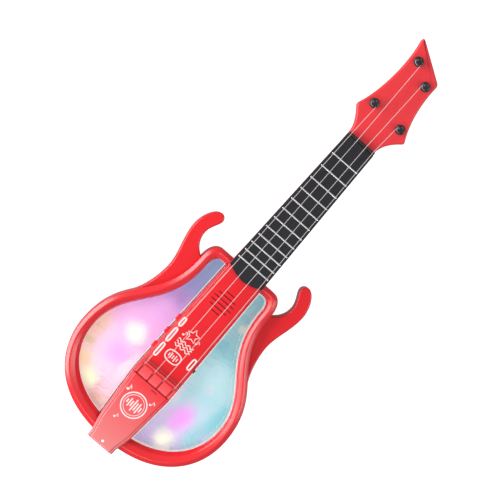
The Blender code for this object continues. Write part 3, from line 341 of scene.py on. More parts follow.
def block(name, low, high):
    """Box between two corners, used as a tool or as the start of a bevelled part."""
    corners = [(low[0], low[1]), (high[0], low[1]), (high[0], high[1]), (low[0], high[1])]
    return stacked(name, [(corners, low[2]), (corners, high[2])])


def plan_box(node):
    """Corners of a CAD node's box, counted from the shoulder line."""
    shift = Vector((0, SHOULDER_Y, 0))
    return tuple(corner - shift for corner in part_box(node))


def bake(obj):
    """Turns an object's modifiers into its own mesh."""
    bpy.context.view_layer.update()
    graph = bpy.context.evaluated_depsgraph_get()
    mesh = bpy.data.meshes.new_from_object(obj.evaluated_get(graph), preserve_all_data_layers=True,
                                           depsgraph=graph)
    obj.modifiers.clear()
    obj.data = mesh
    return obj


def combine(target, operation, *tools):
    """Boolean of a solid with tools that are used up."""
    for tool in tools:
        modifier = target.modifiers.new("cut", "BOOLEAN")
        modifier.operation = operation
        modifier.solver = "EXACT"
        modifier.object = tool
    bake(target)
    for tool in tools:
        bpy.data.objects.remove(tool)
    return target


def rounded(obj, width, segments=3, angle=math.radians(40)):
    """Every edge sharper than an angle gets a small radius."""
    modifier = obj.modifiers.new("round", "BEVEL")
    modifier.width = width
    modifier.segments = segments
    modifier.limit_method = "ANGLE"
    modifier.angle_limit = angle
    modifier.use_clamp_overlap = True
    return bake(obj)


def settle(obj, body, nodes=(), finish=None, smooth=32):
    """Finish all over, smooth shading up to so many degrees, and the piece rides in place of its CAD nodes."""
    if finish:
        obj.data.materials.clear()
        obj.data.materials.append(finish)
    obj.data.shade_smooth()
    obj.data.set_sharp_from_angle(angle=math.radians(smooth))
    modifier = obj.modifiers.new("even", "WEIGHTED_NORMAL")
    modifier.keep_sharp = True
    bake(obj)
    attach(obj, body)
    if nodes:
        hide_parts(*nodes)
    return obj


def add_inputs(tree, values):
    """Named inputs from their starting values, or from the kind of one that starts empty."""
    for label, value in values.items():
        if isinstance(value, str):
            tree.interface.new_socket(label, in_out="INPUT", socket_type="NodeSocket" + value)
            continue
        kind = {int: "Int", float: "Float"}.get(type(value)) or {3: "Vector", 4: "Color"}[len(value)]
        socket = tree.interface.new_socket(label, in_out="INPUT", socket_type="NodeSocket" + kind)
        socket.default_value = value


def effect_group(name, inputs, outputs):
    """Empty shader group with named sockets, and its two end nodes."""
    group = bpy.data.node_groups.new(name, "ShaderNodeTree")
    add_inputs(group, inputs)
    for label, kind in outputs.items():
        group.interface.new_socket(label, in_out="OUTPUT", socket_type="NodeSocket" + kind)
    start = group.nodes.new("NodeGroupInput").outputs
    end = group.nodes.new("NodeGroupOutput").inputs
    return group, start, end


def reckon(tree, operation, *values):
    """Result of one sum on numbers and sockets."""
    return wire(tree, "ShaderNodeMath", dict(enumerate(values)), operation=operation).outputs["Value"]


def reckon_vector(tree, operation, *values):
    """Result of one sum on vectors."""
    return wire(tree, "ShaderNodeVectorMath", dict(enumerate(values)), operation=operation).outputs["Vector"]


def noise(tree, position, scale, detail=2.0, **more):
    """Soft random field over a position."""
    values = {"Vector": position, "Scale": scale, "Detail": detail}
    return wire(tree, "ShaderNodeTexNoise", {**values, **more}).outputs["Fac"]


def bump(tree, height, strength, distance):
    """Normal of a surface raised by a height."""
    values = {"Height": height, "Strength": strength, "Distance": distance}
    return wire(tree, "ShaderNodeBump", values).outputs["Normal"]


def object_place(tree):
    """Place of each point on its own piece."""
    return wire(tree, "ShaderNodeTexCoord").outputs["Object"]


# The skin that a polished or spark-finished mould gives to plastic: faint flow clouds in the colour,
# a little wear in the polish, long soft waves from shrinkage and a fine grain.
SURFACE = {"Colour": "Color", "Roughness": "Float", "Height": "Float"}
moulded_surface, start, end = effect_group("moulded_surface", {
    "Position": "Vector", "Colour": (0.8, 0.8, 0.8, 1), "Cloud Colour": (0.7, 0.7, 0.7, 1), "Polish": 0.2,
    "Polish Spread": 0.08, "Cloud Scale": 22.0, "Grain Scale": 1800.0, "Grain": 0.3}, SURFACE)
clouds = noise(moulded_surface, start["Position"], start["Cloud Scale"], 3.0, Distortion=0.4)
cloud_share = ranged(moulded_surface, clouds, 0.35, 0.7)
wear = noise(moulded_surface, start["Position"], 95.0, 5.0, Roughness=0.65)
wear_offset = reckon(moulded_surface, "SUBTRACT", wear, 0.5)
waves = noise(moulded_surface, start["Position"], 60.0, 1.0)
grain = noise(moulded_surface, start["Position"], start["Grain Scale"])
feed(moulded_surface, end, {
    "Colour": mix(moulded_surface, cloud_share, start["Colour"], start["Cloud Colour"]),
    "Roughness": reckon(moulded_surface, "MULTIPLY_ADD", wear_offset, start["Polish Spread"], start["Polish"]),
    "Height": reckon(moulded_surface, "MULTIPLY_ADD", grain, start["Grain"], waves)})


def moulded_plastic(name, colour, cloud, polish, spread=0.08, grain=0.3, relief=0.05, specular=0.5, painted_light_fade=None):
    """Plastic as it comes out of the mould, with a painted sheen that its colour can turn into along y:
    (colour, y where it begins, y where it is whole).
    """
    material, tree, shader = new_material(name)
    position = object_place(tree)
    surface = wire(tree, "ShaderNodeGroup", node_tree=moulded_surface)
    feed(tree, surface.inputs, {"Position": position, "Colour": (*colour, 1), "Cloud Colour": (*cloud, 1),
                                "Polish": polish, "Polish Spread": spread, "Grain": grain})
    base = surface.outputs["Colour"]
    if painted_light_fade:
        split = wire(tree, "ShaderNodeSeparateXYZ", {"Vector": position})
        base = mix(tree, ranged(tree, split.outputs["Y"], painted_light_fade[1], painted_light_fade[2]), base, (*painted_light_fade[0], 1))
    feed(tree, shader.inputs, {"Base Color": base, "Roughness": surface.outputs["Roughness"],
                               "Normal": bump(tree, surface.outputs["Height"], relief, 0.4 * MM),
                               "Specular IOR Level": specular})
    return material


RED = (0.73, 0.014, 0.022)
RED_CLOUD = (0.68, 0.011, 0.018)

body_edge = both_sides(chain(*body_flanks()))


def window_edge():
    """Opening in the front frame, point for point beside the body's edge."""
    sill, side_rim, waist_rim, head_rim = 16.1 * MM, 11.9 * MM, 10.5 * MM, 10.1 * MM
    bottom = (0, BODY_END + sill)
    bout = (BOUT_X - side_rim, BOUT_Y + 4.2 * MM)
    waist = (WAIST[0] - waist_rim, WAIST[1] - 0.4 * waist_rim)
    top = (SHOULDER_X - 0.55 * head_rim, -head_rim)
    rise = waist[1] - bout[1]
    lower = cubic(bottom, (0.645 * bout[0], bottom[1]), (bout[0], bout[1] - 0.56 * (bout[1] - bottom[1])),
                  bout, FLANK_STEPS[0])
    upper = cubic(bout, (bout[0], bout[1] + 0.41 * rise), (waist[0], waist[1] - 0.525 * rise), waist,
                  FLANK_STEPS[1])
    corner = cubic(waist, (waist[0], top[1] + 0.35 * (waist[1] - top[1])),
                   (top[0] + 0.65 * (waist[0] - top[0]), top[1]), top, FLANK_STEPS[2])
    return both_sides(chain(lower, upper, corner, [top, (0.5 * top[0], top[1]), (0, top[1])]))


window_rim = window_edge()
screw_spots = []
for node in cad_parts:
    if node.startswith(("shell_screw", "neck_screw")):
        low, high = plan_box(node)
        screw_spots.append(((low.x + high.x) / 2, (low.y + high.y) / 2))

shell = stacked("back_shell_moulding", round_levels(horned_loop(), 0, TUB_TOP, 3.2 * MM, 2.0 * MM))
hollow = inset(body_edge, TUB_WALL)
combine(shell, "DIFFERENCE", stacked("tool", [(hollow, TUB_WALL), (hollow, TUB_TOP + 5 * MM)]))
NECK_ZONE = -10 * MM        # screws beyond this hold the neck, in bosses that end under its tenon
BOSS_RADIUS = 4.2 * MM
combine(shell, "UNION", *[
    pin(0.5 * TUB_WALL, TUB_TOP - 15.3 * MM if y > NECK_ZONE else TUB_TOP, BOSS_RADIUS, x, y)
    for x, y in screw_spots])
door_low, door_high = plan_box("battery_door")
cuts = [block("tool", (door_low.x - SPIN_ROOM, door_low.y - SPIN_ROOM, -5 * MM),
              (door_high.x + SPIN_ROOM, door_high.y + SPIN_ROOM, 2 * TUB_WALL)),
        block("tool", (-14.3 * MM, -2 * TUB_WALL, 9.7 * MM), (14.3 * MM, 5 * MM, TUB_TOP + 5 * MM))]
for x, y in screw_spots:
    cuts.append(pin(-5 * MM, SCREW_SINK + SCREW_HEAD + FIT, SCREW_RADIUS + FIT, x, y))
    cuts.append(pin(-6 * MM, TUB_TOP + 5 * MM, PILOT_RADIUS, x, y, 20))
combine(shell, "DIFFERENCE", *cuts)
settle(shell, "guitar", ["back_shell"], moulded_plastic("red_gloss_shell", RED, RED_CLOUD, 0.20))


# ---------------------------------------------------------------- front frame
# A rounded bead of glossy red plastic that runs round the windows and clips the lenses down. Its crest lies
# nearer the outside, and a long slope goes on down to the lenses, widest at the foot of the body.

FRAME_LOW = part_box("front_frame")[0].z
FRAME_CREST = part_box("front_frame")[1].z
LENS_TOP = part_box("left_window")[1].z


def bead_section(width):
    """(distance in from the outer edge, height) points round the frame's section."""
    top = FRAME_CREST
    lip = LENS_TOP + FIT
    steep = max(1.7 * MM, 2.0 * MM + 0.62 * (width - 11.9 * MM))
    brow = width - steep
    outer = cubic((0, top - 4.4 * MM), (0.02 * MM, top - 3.2 * MM), (0.35 * MM, top - 2.75 * MM),
                  (0.95 * MM, top - 2.35 * MM), 5)
    slope = [(2.6 * MM, top - 1.28 * MM), (4.0 * MM, top - 0.48 * MM)]
    crest = cubic((4.0 * MM, top - 0.48 * MM), (4.7 * MM, top - 0.05 * MM), (5.4 * MM, top + 0.02 * MM),
                  (6.3 * MM, top - 0.38 * MM), 5)
    inner = cubic((brow - 0.9 * MM, top - 1.75 * MM), (brow - 0.3 * MM, top - 2.05 * MM),
                  (brow + 0.1 * MM, top - 2.4 * MM), (brow + 0.22 * steep, top - 3.2 * MM), 5)
    wall = [(width - 0.28 * steep, lip + 1.5 * MM), (width - 0.12 * MM, lip + 0.65 * MM)]
    foot = [(0.6 * MM, FRAME_LOW), (0.15 * MM, FRAME_LOW + 0.4 * MM), (0, FRAME_LOW + 1.2 * MM)]
    under = [(width, lip + 0.3 * MM), (width, lip), (0.76 * width, lip), (0.76 * width, FRAME_LOW)]
    return foot + outer + slope + crest[1:] + inner + wall + under


bm = bmesh.new()
columns = []
for outer_point, inner_point in zip(body_edge, window_rim):
    across = Vector(inner_point) - Vector(outer_point)
    width = across.length
    across.normalize()
    column = []
    for distance, z in bead_section(width):
        x, y = Vector(outer_point) + across * distance
        column.append(bm.verts.new((x, y, z)))
    columns.append(column)
for column, following in zip(columns, columns[1:] + columns[:1]):
    count = len(column)
    for index in range(count):
        after = (index + 1) % count
        bm.faces.new((column[index], following[index], following[after], column[after]))
front_frame = new_solid("front_frame_moulding", bm)
frame_red = moulded_plastic("red_gloss_frame", RED, RED_CLOUD, 0.25, specular=0.75)
settle(front_frame, "guitar", ["front_frame"], frame_red, 50)


# ---------------------------------------------------------------- windows
# Two clear polystyrene lenses, one on each side of the strip, held under the lip of the frame. A shallow
# groove runs along the edge of each, and its middle stands a little proud.

LENS_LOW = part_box("left_window")[0].z
LENS_BEVEL = 0.1 * MM
GROOVE_MARGIN = 4.2 * MM
GROOVE_DEPTH = 0.9 * MM
PLATEAU_RISE = 0.6 * MM
PLATEAU_MARGIN = 5.6 * MM

DECK_END = -156.0 * MM
DECK_WIDE = -141.0 * MM
DECK_HALF = 22.2 * MM
DECK_END_HALF = 25.0 * MM
TAIL_START = DECK_END - FIT
TAIL_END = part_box("tail_plate")[0].y - SHOULDER_Y
TAIL_STATIONS = ((TAIL_START, DECK_END_HALF), (BODY_END + 18.1 * MM, 20.9 * MM),
                 (BODY_END + 3 * MM, 17.7 * MM), (BODY_END - 1 * MM, 16.7 * MM))


def interpolate(stations, value):
    """Second number of (key, number) stations at a key, straight between stations."""
    stations = sorted(stations)
    if value <= stations[0][0]:
        return stations[0][1]
    for (key_a, number_a), (key_b, number_b) in zip(stations, stations[1:]):
        if value <= key_b:
            return number_a + (number_b - number_a) * (value - key_a) / (key_b - key_a)
    return stations[-1][1]


def strip_half_width(y):
    """Half the width of whichever strip, deck or tail plate, lies at a height on the plan."""
    if y > DECK_END:
        return interpolate(((DECK_END, DECK_END_HALF), (DECK_WIDE, DECK_END_HALF), (0, DECK_HALF)), y)
    return interpolate(TAIL_STATIONS, y)


def pane_loop(side, edge, clearance):
    """Outline of a pane between the strip and an edge loop on one side, counter-clockwise."""
    right = edge[:len(edge) // 2 + 1]
    kept = []
    for before, after in zip(right, right[1:]):
        limit_before = strip_half_width(before[1]) + clearance
        limit_after = strip_half_width(after[1]) + clearance
        inside_before, inside_after = before[0] > limit_before, after[0] > limit_after
        if inside_before != inside_after:
            share = (limit_before - before[0]) / ((after[0] - before[0]) - (limit_after - limit_before))
            kept.append(tuple(Vector(before).lerp(Vector(after), share)))
        if inside_after:
            kept.append(after)
    top_y, low_y = kept[-1][1], kept[0][1]
    bends = [DECK_WIDE, DECK_END] + [y for y, _ in TAIL_STATIONS]
    corners = [y for y in sorted(bends, reverse=True) if low_y + 1 * MM < y < top_y - 1 * MM]
    kept += [(strip_half_width(y) + clearance, y) for y in corners]
    if side < 0:
        kept = [(-x, y) for x, y in reversed(kept)]
    return kept


lens_material, tree, shader = new_material("clear_lens")
surface = wire(tree, "ShaderNodeGroup", {
    "Position": object_place(tree), "Colour": (1.0, 1.0, 1.0, 1), "Cloud Colour": (0.97, 0.985, 0.985, 1),
    "Polish": 0.03, "Polish Spread": 0.03, "Grain": 0.0}, node_tree=moulded_surface)
feed(tree, shader.inputs, {
    "Base Color": surface.outputs["Colour"], "Roughness": surface.outputs["Roughness"],
    "Normal": bump(tree, surface.outputs["Height"], 0.12, 0.4 * MM), "Transmission Weight": 1.0, "IOR": 1.42})

for label, side in (("left", -1), ("right", 1)):
    pane = pane_loop(side, blend(body_edge, window_rim, 0.80), FIT)
    lens = stacked(label + "_lens", [(pane, LENS_LOW), (pane, LENS_TOP - LENS_BEVEL),
                                     (inset(pane, LENS_BEVEL), LENS_TOP)])
    groove = pane_loop(side, inset(window_rim, GROOVE_MARGIN), -1.6 * MM)
    combine(lens, "DIFFERENCE", stacked("tool", [
        (inset(groove, 1.5 * MM), LENS_TOP - GROOVE_DEPTH), (inset(groove, 0.1 * MM), LENS_TOP - 0.05 * MM),
        (groove, LENS_TOP + 2 * MM)]))
    raised = pane_loop(side, inset(window_rim, PLATEAU_MARGIN), 2.6 * MM)
    combine(lens, "UNION", stacked("tool", [
        (raised, LENS_LOW + 0.4 * MM), (raised, LENS_TOP - 0.35 * MM),
        (inset(raised, 0.25 * MM), LENS_TOP + 0.15 * MM), (inset(raised, 0.9 * MM), LENS_TOP + PLATEAU_RISE)]))
    settle(lens, "guitar", [label + "_window"], lens_material)


# ---------------------------------------------------------------- light films
# A printed diffuser sheet lies under each lens, over the light boards. The left one runs from blue through
# lilac to pink with yellow at its foot, the right one from green-blue to lilac. Over the print lie pale pools
# of painted light and darker pools of painted shade, each sheet has a painted glow in place of the LEDs behind
# it, and a painted highlight runs round its edge.

# Pool of painted light over a sheet's colour, fading out from its centre; with a darker tint it is a pool of
# painted shade.
painted_light_and_shade_pool, start, end = effect_group("painted_light_and_shade_pool", {
    "Position": "Vector", "Under": (0.5, 0.5, 0.5, 1), "Tint": (1.0, 1.0, 1.0, 1), "Centre": "Vector",
    "Reach X": 0.02, "Reach Y": 0.02, "Strength": 1.0}, {"Colour": "Color"})
away = reckon_vector(painted_light_and_shade_pool, "SUBTRACT", start["Position"], start["Centre"])
apart = wire(painted_light_and_shade_pool, "ShaderNodeSeparateXYZ", {"Vector": away})
spread = wire(painted_light_and_shade_pool, "ShaderNodeCombineXYZ", {
    "X": reckon(painted_light_and_shade_pool, "DIVIDE", apart.outputs["X"], start["Reach X"]),
    "Y": reckon(painted_light_and_shade_pool, "DIVIDE", apart.outputs["Y"], start["Reach Y"])})
radius = wire(painted_light_and_shade_pool, "ShaderNodeVectorMath", {0: spread.outputs["Vector"]}, operation="LENGTH")
painted_light_fade = ranged(painted_light_and_shade_pool, radius.outputs["Value"], 1.0, 0.0, interpolation_type="SMOOTHERSTEP")
share = reckon(painted_light_and_shade_pool, "MULTIPLY", painted_light_fade, start["Strength"])
feed(painted_light_and_shade_pool, end, {"Colour": mix(painted_light_and_shade_pool, share, start["Under"], start["Tint"])})


def linear(red, green, blue):
    """Linear shader colour from 0 to 255 display values."""
    return tuple((c / 255 / 12.92) if c <= 10 else ((c / 255 + 0.055) / 1.055) ** 2.4
                 for c in (red, green, blue)) + (1.0,)


# millimetres up from the shoulder line, printed tint there
FILM_BANDS = {
    "left": ((-15, (140, 165, 205)), (-50, (146, 148, 200)), (-68, (186, 144, 204)), (-90, (220, 162, 220)),
             (-115, (236, 174, 224)), (-150, (250, 196, 226)), (-180, (250, 204, 226)),
             (-208, (238, 196, 190))),
    "right": ((-15, (138, 196, 208)), (-55, (160, 200, 208)), (-80, (146, 202, 210)), (-105, (176, 220, 227)),
              (-130, (178, 217, 226)), (-150, (192, 217, 232)), (-172, (208, 200, 232)),
              (-208, (200, 182, 222))),
}
# The pale pools are painted light from the LEDs behind each sheet, the darker ones painted shade, such as the
# teal band inside the right rim.
# centre, reach across, reach along, tint, strength
FILM_POOLS = {
    "left": ((-84, -146, 20, 46, (240, 200, 160), 0.8), (-72, -182, 22, 22, (244, 216, 160), 0.8),
             (-79, -164, 13, 7, (204, 192, 140), 0.75), (-34, -66, 9, 14, (150, 118, 190), 0.5),
             (-47, -125, 22, 20, (255, 246, 226), 0.9), (-47, -154, 24, 21, (255, 168, 232), 0.85),
             (-54, -192, 20, 17, (253, 248, 206), 1.0), (-30, -160, 9, 26, (255, 232, 240), 0.8),
             (-36, -204, 12, 10, (214, 166, 146), 0.7), (-40, -190, 8, 13, (216, 176, 178), 0.6)),
    "right": ((80, -140, 15, 50, (122, 204, 213), 0.85), (72, -174, 15, 28, (140, 208, 214), 0.8),
              (34, -76, 10, 13, (122, 186, 202), 0.55), (49, -163, 21, 29, (244, 162, 244), 1.0),
              (48, -193, 19, 20, (255, 250, 228), 1.0), (26, -150, 9, 38, (246, 224, 240), 0.85),
              (47, -110, 24, 28, (196, 228, 234), 0.6), (51, -121, 7, 8, (226, 206, 222), 0.6),
              (37, -50, 7, 11, (226, 226, 208), 0.8), (37, -28, 8, 16, (188, 186, 190), 0.6)),
}
FILM_CURL = {"left": (150, 110, 170), "right": (90, 170, 190)}
# Emission of each sheet: the real sheet is lit from behind by the boards' LEDs, and this painted glow stands in
# for that light.
FILM_GLOW = {"left": 0.60, "right": 0.52}
# Pale band round the top of each sheet, its tint and width: a painted highlight for the glint along the lens's
# edge.
FILM_EDGE_HIGHLIGHT = {"left": ((0.95, 0.78, 0.84), 1.2 * MM), "right": ((0.98, 0.95, 0.93), 1.9 * MM)}
film_low, film_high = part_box("left_light_film")[0].z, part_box("left_light_film")[1].z

SWIRL = 12.0 * MM               # how far the swirls push the colours about

for label, side in (("left", -1), ("right", 1)):
    print_and_painted_light, tree, shader = new_material(label + "_film_print_and_painted_light")
    position = object_place(tree)
    swirl = wire(tree, "ShaderNodeTexNoise", {"Vector": position, "Scale": 28.0, "Detail": 3.0})
    pushed = reckon_vector(tree, "MULTIPLY_ADD", swirl.outputs["Color"], (SWIRL, SWIRL, 0.0), position)
    centred = reckon_vector(tree, "SUBTRACT", pushed, (SWIRL / 2, SWIRL / 2, 0.0))
    flat = reckon_vector(tree, "MULTIPLY", centred, (1.0, 1.0, 0.0))
    split = wire(tree, "ShaderNodeSeparateXYZ", {"Vector": centred})
    top_y, low_y = FILM_BANDS[label][0][0] * MM, FILM_BANDS[label][-1][0] * MM
    run = ranged(tree, split.outputs["Y"], top_y + SHOULDER_Y, low_y + SHOULDER_Y)
    ramp = wire(tree, "ShaderNodeValToRGB", {"Fac": run})
    ramp.color_ramp.interpolation = "EASE"
    stops = ramp.color_ramp.elements
    for index, (y, tint) in enumerate(FILM_BANDS[label]):
        share = (y * MM - top_y) / (low_y - top_y)
        stop = stops[0] if index == 0 else stops[-1] if share >= 1 else stops.new(share)
        stop.position = share
        stop.color = linear(*tint)
    colour = ramp.outputs["Color"]
    for x, y, reach_x, reach_y, tint, strength in FILM_POOLS[label]:
        pool = wire(tree, "ShaderNodeGroup", {
            "Position": flat, "Under": colour, "Tint": linear(*tint),
            "Centre": (x * MM, y * MM + SHOULDER_Y, 0), "Reach X": reach_x * MM, "Reach Y": reach_y * MM,
            "Strength": strength}, node_tree=painted_light_and_shade_pool)
        colour = pool.outputs["Colour"]
    curls = wire(tree, "ShaderNodeTexWave", {
        "Vector": position, "Scale": 34.0, "Distortion": 14.0, "Detail": 1.5, "Detail Scale": 1.6},
        wave_type="RINGS")
    lines = ranged(tree, curls.outputs["Fac"], 0.80, 0.97)
    where = ranged(tree, noise(tree, position, 24.0, 0.0), 0.46, 0.62, to_high=0.22)
    colour = mix(tree, reckon(tree, "MULTIPLY", lines, where), colour, linear(*FILM_CURL[label]))
    # the print and its painted pools, with a painted glow in place of the LEDs behind the sheet
    feed(tree, shader.inputs, {
        "Base Color": colour, "Emission Color": colour, "Emission Strength": FILM_GLOW[label],
        "Roughness": 0.55, "Normal": bump(tree, noise(tree, position, 700.0, 3.0), 0.15, 0.1 * MM)})

    # The band round the sheet's edge is a painted highlight, and it glows like the sheet.
    edge_highlight_paint, tree, shader = new_material(label + "_film_painted_edge_highlight")
    tint, width = FILM_EDGE_HIGHLIGHT[label]
    highlight_tint = mix(tree, noise(tree, object_place(tree), 60.0), (*tint, 1), (*(0.9 * part for part in tint), 1))
    feed(tree, shader.inputs, {
        "Base Color": highlight_tint, "Emission Color": highlight_tint, "Emission Strength": FILM_GLOW[label], "Roughness": 0.6})

    sheet = pane_loop(side, blend(body_edge, window_rim, 0.94), 2 * FIT)
    film = stacked(label + "_film_sheet", [(sheet, film_low), (sheet, film_high),
                                           (inset(sheet, width), film_high)])
    film.data.materials.append(print_and_painted_light)
    film.data.materials.append(edge_highlight_paint)
    for face in film.data.polygons:
        if len(face.vertices) == 4 and face.normal.z > 0.9:
            face.material_index = 1
    settle(film, "guitar", [label + "_light_film"])


# ---------------------------------------------------------------- control deck
# A raised glossy red strip over the middle of the body, hollow underneath, with a rounded rail along each
# side. Slots for the speaker are cut through it, and the buttons and the switch come out of its walls.

DECK_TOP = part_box("control_deck")[1].z
DECK_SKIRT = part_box("control_deck")[0].z
DECK_WALL = 2.0 * MM
RIM_ROOM = FRAME_CREST + FIT
SPEAKER_Y = (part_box("speaker")[0].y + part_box("speaker")[1].y) / 2 - SHOULDER_Y
BUTTON_YS = (-84.0 * MM, -101.6 * MM, -121.5 * MM)
SWITCH_Y = -114.7 * MM
CONTROL_Z = DECK_TOP - 5.0 * MM

# half of the strip's section: distance in from its side, and drop below its top
RAIL = ((0, None), (0, 3.4), (0.2, 2.5), (0.6, 1.9), (1.1, 1.45), (1.9, 0.62), (2.25, 0.45), (2.55, 0.65),
        (2.8, 1.05), (3.05, 1.1), (3.35, 0.85), (4.0, 0.2), (4.5, 0.03), (6.0, 0.0))


def strip(name, stations, top_at, skirt):
    """Strip with a rail along each side over (y, half width, drop) stations."""
    bm = bmesh.new()
    rings = []
    for y, half, drop in stations:
        top = top_at(y) - drop * MM
        right = [(half - reach * MM, skirt if fall is None else max(top - fall * MM, skirt))
                 for reach, fall in RAIL]
        section = right + [(-x, z) for x, z in reversed(right)]
        rings.append([bm.verts.new((x, y, z)) for x, z in section])
    skin(bm, rings)
    return new_solid(name, bm)


def new_tree(name, inputs):
    """Empty geometry tree with named inputs, its start sockets and its end node."""
    tree = bpy.data.node_groups.new(name, "GeometryNodeTree")
    tree.interface.new_socket("Geometry", in_out="OUTPUT", socket_type="NodeSocketGeometry")
    add_inputs(tree, inputs)
    return tree, tree.nodes.new("NodeGroupInput").outputs, tree.nodes.new("NodeGroupOutput").inputs


def close_tree(tree, geometry, material, end):
    """Real geometry with its material at the end of a tree."""
    real = wire(tree, "GeometryNodeRealizeInstances", {"Geometry": geometry})
    painted = wire(tree, "GeometryNodeSetMaterial", {
        "Geometry": real.outputs["Geometry"], "Material": material})
    tree.links.new(painted.outputs["Geometry"], end["Geometry"])


def copies_across(tree, start, end, count, y, half, shape):
    """Copies of a shape two units wide, each at its own y and stretched to its own half width."""
    line = wire(tree, "GeometryNodeMeshLine", {"Count": count})
    place = wire(tree, "ShaderNodeCombineXYZ", {"Y": y, "Z": start["Height"]})
    size = wire(tree, "ShaderNodeCombineXYZ", {"X": half, "Y": 1.0, "Z": 1.0})
    spots = wire(tree, "GeometryNodeSetPosition", {
        "Geometry": line.outputs["Mesh"], "Position": place.outputs["Vector"]})
    copied = wire(tree, "GeometryNodeObjectInfo", {"Object": start[shape]})
    row = wire(tree, "GeometryNodeInstanceOnPoints", {
        "Points": spots.outputs["Geometry"], "Instance": copied.outputs["Geometry"],
        "Scale": size.outputs["Vector"]})
    close_tree(tree, row.outputs["Instances"], start["Material"], end)


def grown(name, tree, values, keep=None):
    """Plain mesh from a geometry tree, with its inputs set by name."""
    host = bpy.data.objects.new(name, keep or bpy.data.meshes.new(name))
    bpy.context.scene.collection.objects.link(host)
    modifier = host.modifiers.new(tree.name, "NODES")
    modifier.node_group = tree
    for socket in tree.interface.items_tree:
        if socket.item_type == "SOCKET" and socket.in_out == "INPUT" and socket.name in values:
            modifier[socket.identifier] = values[socket.name]
    return bake(host)


deck_red = moulded_plastic("red_gloss_deck", RED, RED_CLOUD, 0.19)

# rows of slots inside a circle: each is as long as the circle is wide at its row
slot_tree, start, end = new_tree("speaker_slots", {
    "Rows": 6, "Pitch": 4.9 * MM, "Field Radius": 13.5 * MM, "Centre Y": 0.0, "Height": 0.0,
    "Slot": "Object", "Material": "Material"})
index = wire(slot_tree, "GeometryNodeInputIndex").outputs["Index"]
middle = reckon(slot_tree, "MULTIPLY", reckon(slot_tree, "SUBTRACT", start["Rows"], 1.0), 0.5)
offset = reckon(slot_tree, "MULTIPLY", reckon(slot_tree, "SUBTRACT", index, middle), start["Pitch"])
square = reckon(slot_tree, "MULTIPLY", offset, offset)
field = reckon(slot_tree, "MULTIPLY", start["Field Radius"], start["Field Radius"])
half = reckon(slot_tree, "SQRT", reckon(slot_tree, "SUBTRACT", field, square))
slot_y = reckon(slot_tree, "ADD", offset, start["Centre Y"])
copies_across(slot_tree, start, end, start["Rows"], slot_y, half, "Slot")

SLOT_HALF_HEIGHT = 0.42 * MM
slot_outline = [(1.0 - 0.05 * (1 - math.cos(a)), SLOT_HALF_HEIGHT * math.sin(a))
                for a in (math.pi * (k / 8 - 0.5) for k in range(9))]
slot_outline += [(-x, -y) for x, y in slot_outline]
slot_shape = recentred(stacked("slot_shape", [(slot_outline, -4 * MM), (slot_outline, 4 * MM)]))
slot_cutter = grown("slot_cutter", slot_tree, {"Centre Y": SPEAKER_Y + SHOULDER_Y, "Height": DECK_TOP,
                                               "Slot": slot_shape, "Material": deck_red})
bpy.data.objects.remove(slot_shape)

deck_ys = [DECK_END, DECK_END + 0.4 * MM, DECK_WIDE, -0.9 * MM, -0.5 * MM]
deck = strip("control_deck_moulding",
             [(y, strip_half_width(y) if y > DECK_END else DECK_END_HALF, 0.35 if k in (0, 4) else 0)
              for k, y in enumerate(deck_ys)], lambda y: DECK_TOP, DECK_SKIRT)


def hollow_loop(*ys):
    """Outline of the room inside the strip between two ends."""
    right = [(strip_half_width(y) - DECK_WALL, y) for y in ys]
    return right + [(-x, y) for x, y in reversed(right)]


def wall_opening(side, y, half_length):
    """Tool for the opening of a button or the switch in one side wall of the deck."""
    wall = side * strip_half_width(y)
    return block("tool", (wall - 4 * MM, y - half_length, CONTROL_Z - 2.35 * MM),
                 (wall + 4 * MM, y + half_length, CONTROL_Z + 2.35 * MM))


rim_end = -10.8 * MM
hollow = hollow_loop(DECK_END + DECK_WALL, DECK_WIDE, rim_end - DECK_WALL)
combine(deck, "DIFFERENCE",
        stacked("tool", [(hollow, DECK_SKIRT - 5 * MM), (hollow, DECK_TOP - DECK_WALL - 0.6 * MM)]),
        block("tool", (-40 * MM, rim_end, DECK_SKIRT - 5 * MM), (40 * MM, 10 * MM, RIM_ROOM)), slot_cutter,
        *[wall_opening(-1, y, 4.05 * MM) for y in BUTTON_YS], wall_opening(1, SWITCH_Y, 4.35 * MM))
settle(deck, "guitar", ["control_deck"], deck_red, 40)


# ---------------------------------------------------------------- tail plate
# The strip goes on below the bridge as a tapering plate that slopes down over the rim of the frame to a
# rounded tab. A hole for a strap goes through the tab, and its top edge stands up behind the bridge.

TAIL_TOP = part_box("tail_plate")[1].z
TAIL_LOW_TOP = DECK_TOP - 0.2 * MM
TAB_CORNER = 2.2 * MM


def tail_height(y):
    """Height of the sloping face of the tail plate."""
    return interpolate(((TAIL_END, TAIL_LOW_TOP), (TAIL_START, TAIL_TOP)), y)


# place along the plate, how far its side draws in as a share of the corner, drop of its edge
tail_ys = [(TAIL_END, -0.62, 0.9), (TAIL_END + 0.12 * TAB_CORNER, -0.32, 0.35),
           (TAIL_END + 0.35 * TAB_CORNER, -0.12, 0.08), (TAIL_END + TAB_CORNER, 0, 0),
           (BODY_END - 1 * MM, 0, 0), (BODY_END + 0.4 * MM, 0, 0), (BODY_END + 3 * MM, 0, 0),
           (BODY_END + 18.1 * MM, 0, 0),
           (TAIL_START - 0.9 * MM, 0, 0), (TAIL_START - 0.3 * MM, 0, 0.12), (TAIL_START, 0, 0.45)]
tail_plate = strip("tail_plate_moulding",
                   [(y, interpolate(TAIL_STATIONS, y) + pull * TAB_CORNER, drop) for y, pull, drop in tail_ys],
                   tail_height, DECK_SKIRT)
rim_start = BODY_END + 19.3 * MM
hollow = hollow_loop(rim_start + DECK_WALL, TAIL_START - DECK_WALL)
STRAP_HOLE_Y = BODY_END - 2.5 * MM
STRAP_HOLE_RADIUS = 1.6 * MM
